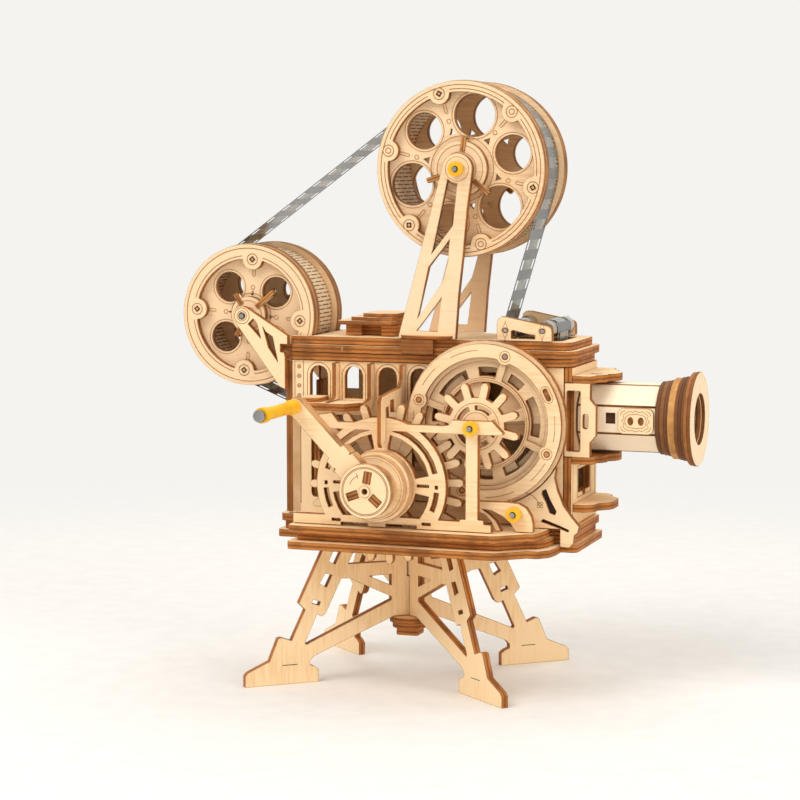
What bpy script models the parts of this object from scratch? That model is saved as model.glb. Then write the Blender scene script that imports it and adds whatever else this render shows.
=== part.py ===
"""Hand-cranked wooden film projector model, built up from laser-cut plywood plates.

Sizes are in millimetres and are turned to metres where a mesh is made.
X runs along the lens axis, Y into the picture, Z up. The origin lies on the table
under the centre of the four-legged stand. Plates that touch keep a gap of FIT.
"""
import math

import bmesh
import bpy

MM = 0.001

# Plywood stock and clearances
PLY = 3.0
THIN_PLY = 1.6
FIT = 0.3
RUN = 0.5
PITCH = PLY + FIT

# Stand
STAND_ANGLE = 40.5
FOOT_OUTER = 73.0
FOOT_LENGTH = 31.8
FOOT_HEIGHT = 18.5
POST_HALF = 8.0
POST_FOOT = 25.1
STAND_DISC_R = 8.6
STAND_DISC_T = 4.8
STAND_NUT = 9.6
STAND_NUT_H = 2.8

# Base and housing
BASE_Z = 58.8
BODY_LEFT = -46.3
BODY_RIGHT = 74.5
WALL_OUT = 20.0
WALL_H = 63.8
BASE_LIP = 2.0
PLATFORM_LEFT = -36.0
PLATFORM_RIGHT = 71.0
PLATFORM_FRONT = 50.0
DECK_LEFT = -49.3
DECK_RIGHT = 76.2
DECK_LIP = 2.0
WINDOW_W = 7.8
WINDOW_H = 13.2
WINDOW_X = (-32.9, -17.6, -2.9, 10.8)
WINDOW_SILL = 48.6
FIN_X = (-24.8, -9.6)
FIN_REACH = 13.5
DOOR_HALF = 9.4
DOOR_H = 9.5

# Gear train: crank gear and pinion share one module
GEAR_MODULE = 2.5
CRANK_TEETH = 24
PINION_TEETH = 12
TOOTH_WIDTH = 3.2
TOOTH_TIP = 2.8
TOOTH_ROOT = 3.4
CRANK_X = 2.6
CRANK_H = 26.8
MESH_ANGLE = 32.7
GEAR_Y = 36.7
ARCH_GAP = 2.8
ARCH_R = 27.3
ARCH_RIM = 24.4
ARCH_MID_OUT = 22.4
ARCH_MID_IN = 20.6
ARCH_BOSS = 14.8
HOOK_X = 4.05

# Shutter rings and shutter
RING_R = 32.0
RING_INNER = 25.3
RING_BACK_R = 33.2
THIN_RING_OUT = 18.4
THIN_RING_IN = 16.8
BACK_WINDOWS = ((112, 150), (78, 98), (45, 62), (-13, 30), (-68, -26), (-98, -82), (163, 180))
SHUTTER_R = 21.8
SHUTTER_T = 1.5
SHAFT_R = 1.0
CAP_R = 3.0
CAP_T = 2.6

# Crank and handle
CRANK_ARM = 44.4
CRANK_ARM_ANGLE = 133.9
HUB_R = 10.8
HUB_LENGTH = 18.2
HUB_TAB_ANGLE = 80.0
GRIP_R = 3.0
GRIP_LENGTH = 34.0

# Upper reel, take-up reel and film
UPPER_X = 26.9
UPPER_H = 68.5
UPPER_R = 35.4
UPPER_HALF = 17.7
TAKE_X = -65.7
TAKE_H = 7.9
TAKE_R = 29.6
TAKE_HALF = 16.6
REEL_LAYER = 3.2
FLANGE_LIP = 2.2
DRUM_WALL = 2.4
FILM_W = 20.0
FILM_T = 0.4
TOWER_GAP = 0.7

# Reel flanges: first boss angle, bosses, rim and boss place, boss size, window ring, windows, knob
UPPER_STYLE = (106.5, 6, 30.7, 31.2, 4.2, 22.0, (8.6, 7.4), 11.2)
TAKE_STYLE = (85.0, 4, 23.4, 23.2, 4.3, 14.8, (6.3, 6.3), 7.6)

# Guide rollers
GUIDE_R = 3.8
GUIDE_H = 4.4
GUIDE_X = (46.7, 62.0)
GUIDE_PIN_R = 0.8
CHEEK_LEFT = 43.2
CHEEK_RIGHT = 66.0
LOWER_X = 56.3
LOWER_H = 7.35
LOWER_R = 4.6

# Lens
LENS_H = 43.1
BRACKET_HALF = 14.7
TUBE_FLATS = 27.0
TUBE_BORE = 20.0
TUBE_END = 104.0
BARREL_FRONT = 122.1
BARREL_RINGS = ((3.2, 14.8), (9.0, 16.4), (5.4, 18.9))
BARREL_BORE = 10.2
LENS_PLATE_REACH = 89.6
LENS_SHELF_REACH = 88.0
FOCUS_OUT = 5.0

# Lamp housing on the deck
LAMP_LEFT = -27.6
LAMP_RIGHT = -2.0
LAMP_FOOT_H = 4.4

ROUND = 40

# Places worked out from the sizes above
BASE_TOP = BASE_Z + 3 * PITCH - FIT
WALL_Z = BASE_TOP + FIT
WALL_TOP = WALL_Z + WALL_H
CORNICE_Z = WALL_TOP + FIT
DECK_LOWER_Z = CORNICE_Z + PITCH
DECK_UPPER_Z = DECK_LOWER_Z + PITCH
DECK_TOP = DECK_UPPER_Z + PLY
WALL_IN = WALL_OUT - PLY
BASE_HALF = WALL_OUT + BASE_LIP
DECK_HALF = WALL_OUT + DECK_LIP

GEAR_CENTRES = GEAR_MODULE * (CRANK_TEETH + PINION_TEETH) / 2
CRANK_Z = BASE_Z + CRANK_H
PINION_X = CRANK_X + GEAR_CENTRES * math.cos(math.radians(MESH_ANGLE))
PINION_Z = CRANK_Z + GEAR_CENTRES * math.sin(math.radians(MESH_ANGLE))
GEAR_TIP = GEAR_MODULE * CRANK_TEETH / 2 + TOOTH_TIP

RING_BACK_Y = BASE_HALF + FIT + PLY / 2
RING_FRONT_Y = RING_BACK_Y + PITCH
ARCH_Y = GEAR_Y + PLY + ARCH_GAP
HOOK_Y0 = ARCH_Y + PLY / 2 + FIT
LOWER_BRACKET_Y = GEAR_Y - 0.7
HUB_Y0 = ARCH_Y + PLY / 2 + RUN
HUB_Y1 = HUB_Y0 + HUB_LENGTH
ARM_Y = HUB_Y1 - PLY - FIT - PLY

UPPER_Z = DECK_TOP + UPPER_H
TAKE_Z = DECK_TOP + TAKE_H
TOWER_Y = UPPER_HALF + TOWER_GAP + PLY / 2
ARM_PLATE_Y = WALL_OUT + FIT + PLY / 2
UPPER_FILM_R = UPPER_R - FLANGE_LIP
TAKE_FILM_R = TAKE_R - FLANGE_LIP
GUIDE_Z = DECK_TOP + GUIDE_H
CHEEK_Y = WALL_OUT - FIT - PLY / 2
LOWER_Z = BASE_TOP + LOWER_H
LENS_Z = WALL_Z + LENS_H
LENS_SHELF_Z = WALL_Z + 7.4
DOOR_Z = WALL_Z + 12.6
SEAT = BODY_RIGHT + FIT


def clear_scene():
    """Remove every object of the open file."""
    for old in list(bpy.data.objects):
        bpy.data.objects.remove(old, do_unlink=True)


def finish(name, colour, roughness, metallic=0.0, transmission=0.0):
    """Return a Principled material."""
    material = bpy.data.materials.new(name)
    material.use_nodes = True
    shader = material.node_tree.nodes["Principled BSDF"]
    shader.inputs["Base Color"].default_value = (*colour, 1.0)
    shader.inputs["Roughness"].default_value = roughness
    shader.inputs["Metallic"].default_value = metallic
    shader.inputs["Transmission Weight"].default_value = transmission
    material.diffuse_color = (*colour, 1.0)
    return material


def circle(radius, centre=(0.0, 0.0), count=ROUND, start=0.0):
    """Points of a full circle; start is an angle in degrees."""
    cx, cy = centre
    turn = 2 * math.pi / count
    first = math.radians(start)
    return [(cx + radius * math.cos(first + turn * i), cy + radius * math.sin(first + turn * i))
            for i in range(count)]


def arc(radius, begin, end, count, centre=(0.0, 0.0)):
    """Points from angle begin to angle end in degrees, both kept."""
    cx, cy = centre
    angles = [math.radians(begin + (end - begin) * i / count) for i in range(count + 1)]
    return [(cx + radius * math.cos(a), cy + radius * math.sin(a)) for a in angles]


def sector(inner, outer, begin, end, count=4, centre=(0.0, 0.0)):
    """A curved slot between two radii."""
    return arc(outer, begin, end, count, centre) + arc(inner, end, begin, count, centre)


def rect(x0, y0, x1, y1):
    """A rectangle by two corners."""
    return [(x0, y0), (x1, y0), (x1, y1), (x0, y1)]


def rounded(points, radius, count=3):
    """Round the corners of a polygon; radius is one value or one for each corner."""
    radii = radius if isinstance(radius, (list, tuple)) else [radius] * len(points)
    out = []
    total = len(points)
    for i, (px, py) in enumerate(points):
        r = radii[i]
        if r <= 0:
            out.append((px, py))
            continue
        ax, ay = points[i - 1]
        bx, by = points[(i + 1) % total]
        va = (ax - px, ay - py)
        vb = (bx - px, by - py)
        la = math.hypot(*va)
        lb = math.hypot(*vb)
        ua = (va[0] / la, va[1] / la)
        ub = (vb[0] / lb, vb[1] / lb)
        half = math.acos(max(-1.0, min(1.0, ua[0] * ub[0] + ua[1] * ub[1]))) / 2
        run = min(r / math.tan(half), 0.48 * la, 0.48 * lb)
        start = (px + ua[0] * run, py + ua[1] * run)
        stop = (px + ub[0] * run, py + ub[1] * run)
        for k in range(count + 1):
            t = k / count
            w0, w1, w2 = (1 - t) ** 2, 2 * t * (1 - t), t ** 2
            out.append((w0 * start[0] + w1 * px + w2 * stop[0], w0 * start[1] + w1 * py + w2 * stop[1]))
    return out


def shifted(points, dx, dy):
    """Move an outline."""
    return [(x + dx, y + dy) for x, y in points]


def mirrored(points):
    """Mirror an outline left to right, keeping its turning sense."""
    return [(-x, y) for x, y in reversed(points)]


def plate_mesh(name, outer, holes, thickness):
    """Fill a flat outline with its holes and extrude it about its middle plane."""
    curve = bpy.data.curves.new(name, "CURVE")
    curve.dimensions = "2D"
    curve.fill_mode = "BOTH"
    curve.extrude = thickness * MM / 2
    for loop in [outer, *holes]:
        spline = curve.splines.new("POLY")
        spline.points.add(len(loop) - 1)
        for point, (u, v) in zip(spline.points, loop):
            point.co = (u * MM, v * MM, 0.0, 1.0)
        spline.use_cyclic_u = True
    holder = bpy.data.objects.new(name, curve)
    bpy.context.scene.collection.objects.link(holder)
    graph = bpy.context.evaluated_depsgraph_get()
    mesh = bpy.data.meshes.new_from_object(holder.evaluated_get(graph))
    bpy.data.objects.remove(holder, do_unlink=True)
    bpy.data.curves.remove(curve)
    shell = bmesh.new()
    shell.from_mesh(mesh)
    bmesh.ops.remove_doubles(shell, verts=shell.verts, dist=1e-6)
    bmesh.ops.recalc_face_normals(shell, faces=shell.faces)
    shell.to_mesh(mesh)
    shell.free()
    return mesh


TURN = {
    "XY": (0.0, 0.0, 0.0),
    "XZ": (math.pi / 2, 0.0, 0.0),
    "YZ": (math.pi / 2, 0.0, math.pi / 2),
}


def add_object(name, mesh, material, at=(0.0, 0.0, 0.0), turn=(0.0, 0.0, 0.0)):
    """Link a mesh as a named sub-part at a place given in millimetres."""
    mesh.name = name
    mesh.materials.clear()
    mesh.materials.append(material)
    obj = bpy.data.objects.new(name, mesh)
    obj.location = [c * MM for c in at]
    obj.rotation_euler = turn
    bpy.context.scene.collection.objects.link(obj)
    return obj


def sheet(name, outer, holes=(), plane="XZ", at=(0.0, 0.0, 0.0), thickness=PLY, material=None, spin=0.0):
    """A flat plate; at is the world place of the outline's origin at mid thickness."""
    turn = TURN[plane]
    if spin:
        turn = (turn[0], turn[1], turn[2] + math.radians(spin))
    return add_object(name, plate_mesh(name, outer, list(holes), thickness), material, at, turn)


def turned_mesh(name, profile, count=ROUND):
    """Spin a profile of (radius, height) about local Z into a closed solid."""
    shell = bmesh.new()
    points = [shell.verts.new((r * MM, 0.0, h * MM)) for r, h in profile]
    edges = [shell.edges.new(pair) for pair in zip(points, points[1:])]
    if profile[0][0] > 0:
        edges.append(shell.edges.new((points[-1], points[0])))
    bmesh.ops.spin(shell, geom=points + edges, cent=(0, 0, 0), axis=(0, 0, 1), angle=2 * math.pi,
                   steps=count, use_merge=True)
    bmesh.ops.remove_doubles(shell, verts=shell.verts, dist=1e-6)
    bmesh.ops.recalc_face_normals(shell, faces=shell.faces)
    mesh = bpy.data.meshes.new(name)
    shell.to_mesh(mesh)
    shell.free()
    return mesh


def turned(name, profile, axis="Y", at=(0.0, 0.0, 0.0), material=None, count=ROUND):
    """A turned piece; profile heights run along +axis, and at is the world place of height 0."""
    turn = {"Z": (0.0, 0.0, 0.0), "Y": (-math.pi / 2, 0.0, 0.0), "X": (0.0, math.pi / 2, 0.0)}[axis]
    obj = add_object(name, turned_mesh(name, profile, count), material, at, turn)
    obj.data.shade_smooth()
    obj.data.set_sharp_from_angle(angle=math.radians(35))
    return obj


def rod_profile(radius, low, high):
    """Profile of a plain solid rod."""
    return [(0.0, low), (radius, low), (radius, high), (0.0, high)]


def tube_profile(inner, outer, low, high):
    """Profile of a plain ring."""
    return [(inner, low), (outer, low), (outer, high), (inner, high)]


def boolean(base, others, operation):
    """Join or cut solids with live objects, keep the result and drop the tools."""
    for other in others:
        step = base.modifiers.new(other.name, "BOOLEAN")
        step.operation = operation
        step.solver = "EXACT"
        step.object = other
    graph = bpy.context.evaluated_depsgraph_get()
    mesh = bpy.data.meshes.new_from_object(base.evaluated_get(graph))
    base.modifiers.clear()
    old = base.data
    name = old.name
    base.data = mesh
    bpy.data.meshes.remove(old)
    mesh.name = name
    for other in others:
        bpy.data.objects.remove(other, do_unlink=True)
    shell = bmesh.new()
    shell.from_mesh(mesh)
    bmesh.ops.remove_doubles(shell, verts=shell.verts, dist=2e-6)
    bmesh.ops.dissolve_limit(shell, angle_limit=math.radians(0.5), verts=shell.verts, edges=shell.edges)
    bmesh.ops.triangulate(shell, faces=shell.faces)
    shell.to_mesh(mesh)
    shell.free()
    return base


def fuse(base, *others):
    """Glue plates into one solid."""
    return boolean(base, others, "UNION")


def cut(base, *tools):
    """Cut tools out of a solid."""
    return boolean(base, tools, "DIFFERENCE")


def gear_outline(teeth, offset=0.0, tip_steps=3):
    """Laser-cut gear with straight-sided, round-ended teeth."""
    pitch = GEAR_MODULE * teeth / 2
    half = TOOTH_WIDTH / 2
    root = math.sqrt((pitch - TOOTH_ROOT) ** 2 - half ** 2)
    centre = pitch + TOOTH_TIP - half
    profile = [(root, -half)]
    profile += arc(half, -90, 90, tip_steps, (centre, 0.0))
    profile += [(root, half)]
    points = []
    for k in range(teeth):
        a = math.radians(offset + 360 * k / teeth)
        points += [(x * math.cos(a) - y * math.sin(a), x * math.sin(a) + y * math.cos(a)) for x, y in profile]
    return points


def lobe_reach(angle, radius, lobe_r, lobe_at, bosses):
    """Point of a ring's inner edge that swells inwards round bosses at the given angles."""
    reach = radius
    for boss in bosses:
        off = math.radians(angle - boss)
        side = lobe_at * math.sin(off)
        if math.cos(off) > 0 and abs(side) < lobe_r:
            reach = min(reach, lobe_at * math.cos(off) - math.sqrt(lobe_r ** 2 - side ** 2))
    a = math.radians(angle)
    return (reach * math.cos(a), reach * math.sin(a))


def lobed_hole(radius, lobe_r, lobe_at, bosses, count=48):
    """Inner edge of a ring that swells inwards round bosses at the given angles."""
    return [lobe_reach(360 * (i + 0.3) / count, radius, lobe_r, lobe_at, bosses) for i in range(count)]


def stand(wood, dark):
    """Four-legged stand: two crossing truss plates, a disc and a nut."""
    top = BASE_Z - FIT
    inner = FOOT_OUTER - FOOT_LENGTH
    rail = top - 10.3
    post = POST_HALF
    half = [
        (post, POST_FOOT), (inner - 7.7, 14.9), (inner + 2.3, 10.7), (inner + 3.8, 9.0), (inner + 3.8, 7.3),
        (inner + 1.8, 6.6), (inner, 5.3), (inner, 0.0), (FOOT_OUTER, 0.0), (FOOT_OUTER, 4.6),
        (FOOT_OUTER - 1.3, 6.0), (FOOT_OUTER - 10.5, 10.0), (FOOT_OUTER - 14.3, FOOT_HEIGHT + 0.8),
        (FOOT_OUTER - 15.8, FOOT_HEIGHT + 1.1), (FOOT_OUTER - 20.0, FOOT_HEIGHT - 0.5),
        (inner + 5.8, FOOT_HEIGHT + 12.0), (inner + 8.5, FOOT_HEIGHT + 14.8), (inner - 3.7, top), (inner - 8.7, top),
        (inner - 4.6, rail + 1.9), (inner - 7.4, rail + 0.4), (inner - 12.2, top), (inner - 18.0, top),
        (inner - 13.0, rail + 0.2), (post + 0.8, rail), (post + 0.8, top - 3.0), (post - 2.0, top - 3.0),
        (post - 2.0, top),
    ]
    small = [(post + 1.0, rail - 5.3), (post + 11.0, rail - 5.5), (post + 1.0, rail - 10.0)]
    strut = [(post + 1.0, rail - 14.8), (inner - 13.6, rail - 5.9), (inner - 10.0, rail - 5.7),
             (inner - 3.2, FOOT_HEIGHT + 10.0), (inner - 1.6, FOOT_HEIGHT + 8.7), (inner + 0.7, FOOT_HEIGHT + 9.7),
             (inner + 6.0, FOOT_HEIGHT - 1.9), (inner + 5.4, FOOT_HEIGHT - 2.6), (post + 1.0, rail - 16.2)]
    slots = [[(inner - 6.0, rail - 4.0), (inner - 3.0, rail - 3.2), (inner - 0.5, rail - 7.2),
              (inner - 3.5, rail - 9.0)],
             [(inner - 0.8, rail - 14.8), (inner - 0.2, rail - 16.3), (inner + 3.0, rail - 15.2),
              (inner + 2.4, rail - 13.7)]]
    windows = [small, strut, *slots]
    lap = math.radians(2 * STAND_ANGLE)
    slot = (PLY + PLY * abs(math.cos(lap))) / math.sin(lap) / 2 + FIT
    middle = (top + POST_FOOT) / 2
    for name, angle, upper in (("stand_leg_a", STAND_ANGLE, True), ("stand_leg_b", -STAND_ANGLE, False)):
        if upper:
            mouth = [(-post + 2.0, top), (-slot, top), (-slot, middle - FIT / 2), (slot, middle - FIT / 2),
                     (slot, top), (post - 2.0, top)]
            outline = half[:-1] + list(reversed(mouth)) + [(-x, z) for x, z in reversed(half[:-1])]
        else:
            foot = [(-slot, POST_FOOT), (-slot, middle + FIT / 2), (slot, middle + FIT / 2), (slot, POST_FOOT)]
            outline = half + [(-x, z) for x, z in reversed(half)] + foot
        holes = windows + [mirrored(w) for w in windows]
        sheet(name, outline, holes, "XZ", thickness=PLY, material=wood, spin=angle)
    disc_top = POST_FOOT - FIT
    step = disc_top - STAND_DISC_T / 2
    disc_low = disc_top - STAND_DISC_T
    turned("stand_disc", [(SHAFT_R, disc_low), (STAND_DISC_R - 1.2, disc_low), (STAND_DISC_R - 1.2, step),
                          (STAND_DISC_R, step), (STAND_DISC_R, disc_top), (SHAFT_R, disc_top)], "Z",
           material=dark, count=24)
    side = STAND_NUT / 2
    nut_z = disc_low - FIT - STAND_NUT_H / 2
    sheet("stand_nut", rounded(rect(-side, -side, side, side), 1.6), plane="XY", at=(0, 0, nut_z),
          thickness=STAND_NUT_H, material=dark)


def base(wood):
    """Three stacked base plates: the housing's plinth and the crank platform in front."""
    slot_y0 = GEAR_Y + PLY / 2 + RUN
    slot_y1 = GEAR_Y - PLY / 2 - RUN
    steps = (("base_lower", 0, 0.0, 0.0, 0.0), ("base_middle", 1, 2.2, 5.2, 2.8), ("base_upper", 2, 1.1, 0.6, 4.3))
    kink = PLATFORM_RIGHT - 9.0
    for name, level, back_in, front_in, right_in in steps:
        low = BASE_Z + level * PITCH
        left = BODY_LEFT - 4.6 + back_in
        right = BODY_RIGHT + 3.0 - back_in
        depth = BASE_HALF - back_in * 0.9
        p_left = PLATFORM_LEFT + front_in * 0.4
        p_right = PLATFORM_RIGHT - right_in
        front = PLATFORM_FRONT - front_in
        outline = [
            (left, -depth), (p_left, -depth), (p_left, -front), (kink - 11.0, -front), (kink, -front + 9.5),
            (kink + (p_right - kink) / 2, -front + 9.8), (p_right - 0.9, -front + 14.0), (p_right, -front + 20.0),
            (p_right, -depth), (right, -depth), (right, depth), (left, depth),
        ]
        radii = [2.5, 1.0, 3.0, 4.0, 2.0, 1.5, 2.0, 2.0, 1.0, 3.5, 3.5, 2.5]
        drop = CRANK_Z - (low + PLY)
        reach = GEAR_TIP + RUN
        half = math.sqrt(reach ** 2 - drop ** 2)
        gear_slot = rect(CRANK_X - half, -slot_y0, CRANK_X + half, -slot_y1)
        sheet(name, rounded(outline, radii), [gear_slot], "XY", at=(0, 0, low + PLY / 2), material=wood)


def window(x, sill, order):
    """Round-headed window outline; the heads step a hair so that no three crowns line up."""
    half = WINDOW_W / 2
    foot = sill + 0.03 * (order % 2)
    spring = sill + WINDOW_H - half + 0.05 * (order % 3)
    return [(x - half, foot), (x + half, foot), *arc(half, 0, 180, 6, (x, spring))]


def fin_outline(foot, free):
    """Side view of a sweeping buttress; a free one hangs below the shelf as a horn."""
    y0 = -WALL_OUT + 0.6
    head = WALL_TOP - 0.6
    bend = head - 13.4
    run = FIN_REACH - 4.5
    drop = bend - foot
    sweep = [(y0 - 4.5 - run * (1 - math.cos(math.radians(a))), bend - drop * math.sin(math.radians(a)))
             for a in range(0, 91, 15)]
    tail = [(y0 - FIN_REACH + 3.4, foot), (y0, foot + 0.2)]
    if free:
        tail = [(y0 - FIN_REACH + 1.4, foot - 3.5), (y0 - FIN_REACH + 1.8, foot - 11.6), (y0 - 9.5, foot - 12.0),
                (y0 - 6.4, foot - 4.6), (y0 - 4.4, foot - 3.6), (y0, foot + 0.4)]
    return [(y0, head), (y0 - 4.5, head), *sweep, *tail]


def housing(wood):
    """Four walls of the housing; the front one carries three curved fins."""
    right = BODY_RIGHT - PLY - FIT
    left = BODY_LEFT
    mid_y = WALL_OUT - PLY / 2
    sill = WALL_Z + WINDOW_SILL
    axle = circle(SHAFT_R + RUN, (PINION_X, PINION_Z), 16)
    crank_bore = circle(SHAFT_R + RUN, (CRANK_X, CRANK_Z), 16)
    low_bore = circle(SHAFT_R + RUN, (LOWER_X, LOWER_Z), 12)
    panel = [(left, WALL_Z), (right, WALL_Z), (right, WALL_TOP), (left, WALL_TOP)]
    openings = [window(x, sill, i) for i, x in enumerate(WINDOW_X)]
    tall = WALL_Z + 7.2
    rib = 5.0
    openings.append(rounded([(left + 10.0, tall), (CRANK_X - rib, tall), (CRANK_X - rib, sill - 7.0),
                             (left + 10.0, sill - 7.0)], 2.0))
    openings.append(rounded([(CRANK_X + rib, tall), (PINION_X - 9.0, tall), (PINION_X - 21.0, PINION_Z - 14.0),
                             (CRANK_X + rib + 6.0, sill - 8.0), (CRANK_X + rib, sill - 12.0)], 2.0))
    for begin in (20, 140, 260):
        openings.append(sector(6.0, 20.0, begin, begin + 80, 5, (PINION_X, PINION_Z)))
    front = sheet("front_wall", panel, openings + [axle, crank_bore, low_bore], "XZ", at=(0, -mid_y, 0),
                  material=wood)
    fins = []
    shelf_top = sill - 0.9 + FIT
    for i, x in enumerate(FIN_X):
        profile = fin_outline(shelf_top, i > 0)
        fins.append(sheet(f"fin_{i}", profile, plane="YZ", at=(x, 0, 0), thickness=THIN_PLY, material=wood))
    fuse(front, *fins)
    back_holes = [window(x, sill, i) for i, x in enumerate(WINDOW_X)]
    sheet("back_wall", panel, back_holes + [axle, low_bore], "XZ", at=(0, mid_y, 0), material=wood)
    inner = WALL_IN - FIT
    reel_low = TAKE_Z - math.sqrt((TAKE_R + RUN) ** 2 - (BODY_LEFT + PLY - TAKE_X) ** 2)
    wing = reel_low - 9.0
    (x0, z0), (x1, z1) = tangent((LOWER_X, LOWER_Z), LOWER_R + FIT, 1, (TAKE_X, TAKE_Z), TAKE_FILM_R, 1)
    film_low = z0 + (z1 - z0) * (BODY_LEFT + PLY - x0) / (x1 - x0)
    mouth = film_low - 3.5
    lane = FILM_W / 2 + 1.5
    side = [(-inner, WALL_Z), (inner, WALL_Z), (inner, wing), (lane, wing), (lane, mouth), (-lane, mouth),
            (-lane, wing), (-inner, wing)]
    sheet("left_wall", side, [rounded(rect(-8.0, WALL_Z + 10.0, 8.0, WALL_Z + 34.0), 3.0)], "YZ",
          at=(BODY_LEFT + PLY / 2, 0, 0), material=wood)
    wide = WALL_OUT
    slim = WALL_IN - FIT
    low_z = LENS_Z - BRACKET_HALF - FIT
    top_z = LENS_Z + BRACKET_HALF + FIT
    wall = [(-wide, WALL_Z), (wide, WALL_Z), (wide, low_z), (slim, low_z), (slim, top_z), (wide, top_z),
            (wide, WALL_TOP), (-wide, WALL_TOP), (-wide, top_z), (-slim, top_z), (-slim, low_z), (-wide, low_z)]
    half = DOOR_HALF
    door = [(-half, DOOR_Z), (-2.6, DOOR_Z), (-1.8, DOOR_Z - 1.6), (1.8, DOOR_Z - 1.6), (2.6, DOOR_Z),
            (half, DOOR_Z), (half, DOOR_Z + DOOR_H), (-half, DOOR_Z + DOOR_H)]
    sheet("right_wall", wall, [door, circle(TUBE_BORE / 2, (0.0, LENS_Z), 24)], "YZ",
          at=(BODY_RIGHT - PLY / 2, 0, 0), material=wood)


def deck(wood):
    """Cornice and two deck plates, notched round the take-up reel."""
    for name, low, left, right, half, shoulder in (
            ("deck_cornice", CORNICE_Z, BODY_LEFT, BODY_RIGHT, WALL_OUT, 1.2),
            ("deck_lower", DECK_LOWER_Z, DECK_LEFT, DECK_RIGHT, WALL_OUT, DECK_LIP),
            ("deck_upper", DECK_UPPER_Z, DECK_LEFT + 4.1, DECK_RIGHT - 2.5, WALL_OUT, 0.0)):
        lowest = TAKE_Z - (low + PLY)
        reach = TAKE_R + RUN + 0.3
        notch_x = TAKE_X + math.sqrt(reach ** 2 - min(abs(lowest), abs(TAKE_Z - low)) ** 2)
        notch_y = TAKE_HALF + RUN
        step = BODY_LEFT + 2.5
        outer = half + shoulder
        outline = [
            (left, -half), (step, -half), (step, -outer), (right, -outer), (right, outer), (step, outer),
            (step, half), (left, half), (left, notch_y), (notch_x, notch_y), (notch_x, -notch_y),
            (left, -notch_y),
        ]
        radii = [0.6, 0, 0, 6.0, 6.0, 0, 0, 0.6, 0, 0, 0, 0]
        if shoulder <= 0:
            outline = [outline[0], outline[3], outline[4], *outline[7:]]
            radii = [0.6, 6.0, 6.0, 0.6, 0, 0, 0, 0]
        film_in = rect(GUIDE_X[1] + GUIDE_R - 3.4, -FILM_W / 2 - 1.5, GUIDE_X[1] + GUIDE_R + 2.2,
                       FILM_W / 2 + 1.5)
        holes = [film_in]
        sheet(name, rounded(outline, radii), holes, "XY", at=(0, 0, low + PLY / 2), material=wood)


def towers(wood):
    """A-shaped reel tower plates and the take-up reel's arm plates."""
    bore = circle(SHAFT_R + RUN, (UPPER_X, UPPER_Z), 12)
    foot = DECK_TOP + FIT
    head = 6.3
    out_l = UPPER_X - 24.9
    out_r = UPPER_X - 0.6
    leg_l = 5.7
    leg_r = 7.0
    slope_l = 0.26
    slope_r = 0.082

    def left_edge(z):
        return out_l + slope_l * (z - foot)

    def right_edge(z):
        return out_r + slope_r * (z - foot)

    def inner_left(rise):
        return (left_edge(foot + rise) + leg_l, foot + rise)

    def inner_right(rise):
        return (right_edge(foot + rise) - leg_r, foot + rise)

    outline = [(left_edge(foot), foot), (right_edge(foot), foot)]
    outline += arc(head, -8, 172, 12, (UPPER_X, UPPER_Z))
    low = [inner_left(3.2), inner_right(3.2), inner_right(18.4)]
    mid = [inner_left(7.8), inner_right(22.8), inner_right(41.0), inner_left(28.8)]
    high = [inner_left(34.0), inner_right(45.6), inner_right(UPPER_H - 8.5), inner_left(UPPER_H - 9.0)]
    for name, y in (("tower_front", -TOWER_Y), ("tower_back", TOWER_Y)):
        sheet(name, outline, [bore, low, mid, high], "XZ", at=(0, y, 0), material=wood)

    eye = 4.0
    deck_x = DECK_LEFT + 0.6
    wall_x = BODY_LEFT - FIT
    arm = [
        *arc(eye, 62, 226, 8, (TAKE_X, TAKE_Z)), (wall_x - 2.4, WALL_TOP - 11.0), (wall_x, WALL_TOP - 12.0),
        (wall_x, CORNICE_Z + 1.0), (wall_x - 0.4, CORNICE_Z + PLY - 0.2), (deck_x, CORNICE_Z + PLY),
        (deck_x, DECK_LOWER_Z + PLY), (DECK_LEFT + 4.1 - FIT, DECK_UPPER_Z - FIT),
        (DECK_LEFT + 4.1 - FIT, DECK_TOP + 0.2),
    ]
    holes = [
        circle(SHAFT_R + RUN, (TAKE_X, TAKE_Z), 12),
        [(TAKE_X + 2.7, TAKE_Z - 3.3), (TAKE_X + 5.0, TAKE_Z - 1.0), (TAKE_X + 6.7, TAKE_Z - 2.8),
         (TAKE_X + 8.5, TAKE_Z - 9.3)],
        [(TAKE_X + 9.2, TAKE_Z - 4.0), (TAKE_X + 10.7, TAKE_Z - 6.3), (TAKE_X + 13.7, TAKE_Z - 8.3),
         (TAKE_X + 16.0, TAKE_Z - 18.8), (TAKE_X + 11.7, TAKE_Z - 12.8)],
    ]
    for name, y in (("reel_arm_front", -ARM_PLATE_Y), ("reel_arm_back", ARM_PLATE_Y)):
        sheet(name, arm, holes, "XZ", at=(0, y, 0), material=wood)


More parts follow.
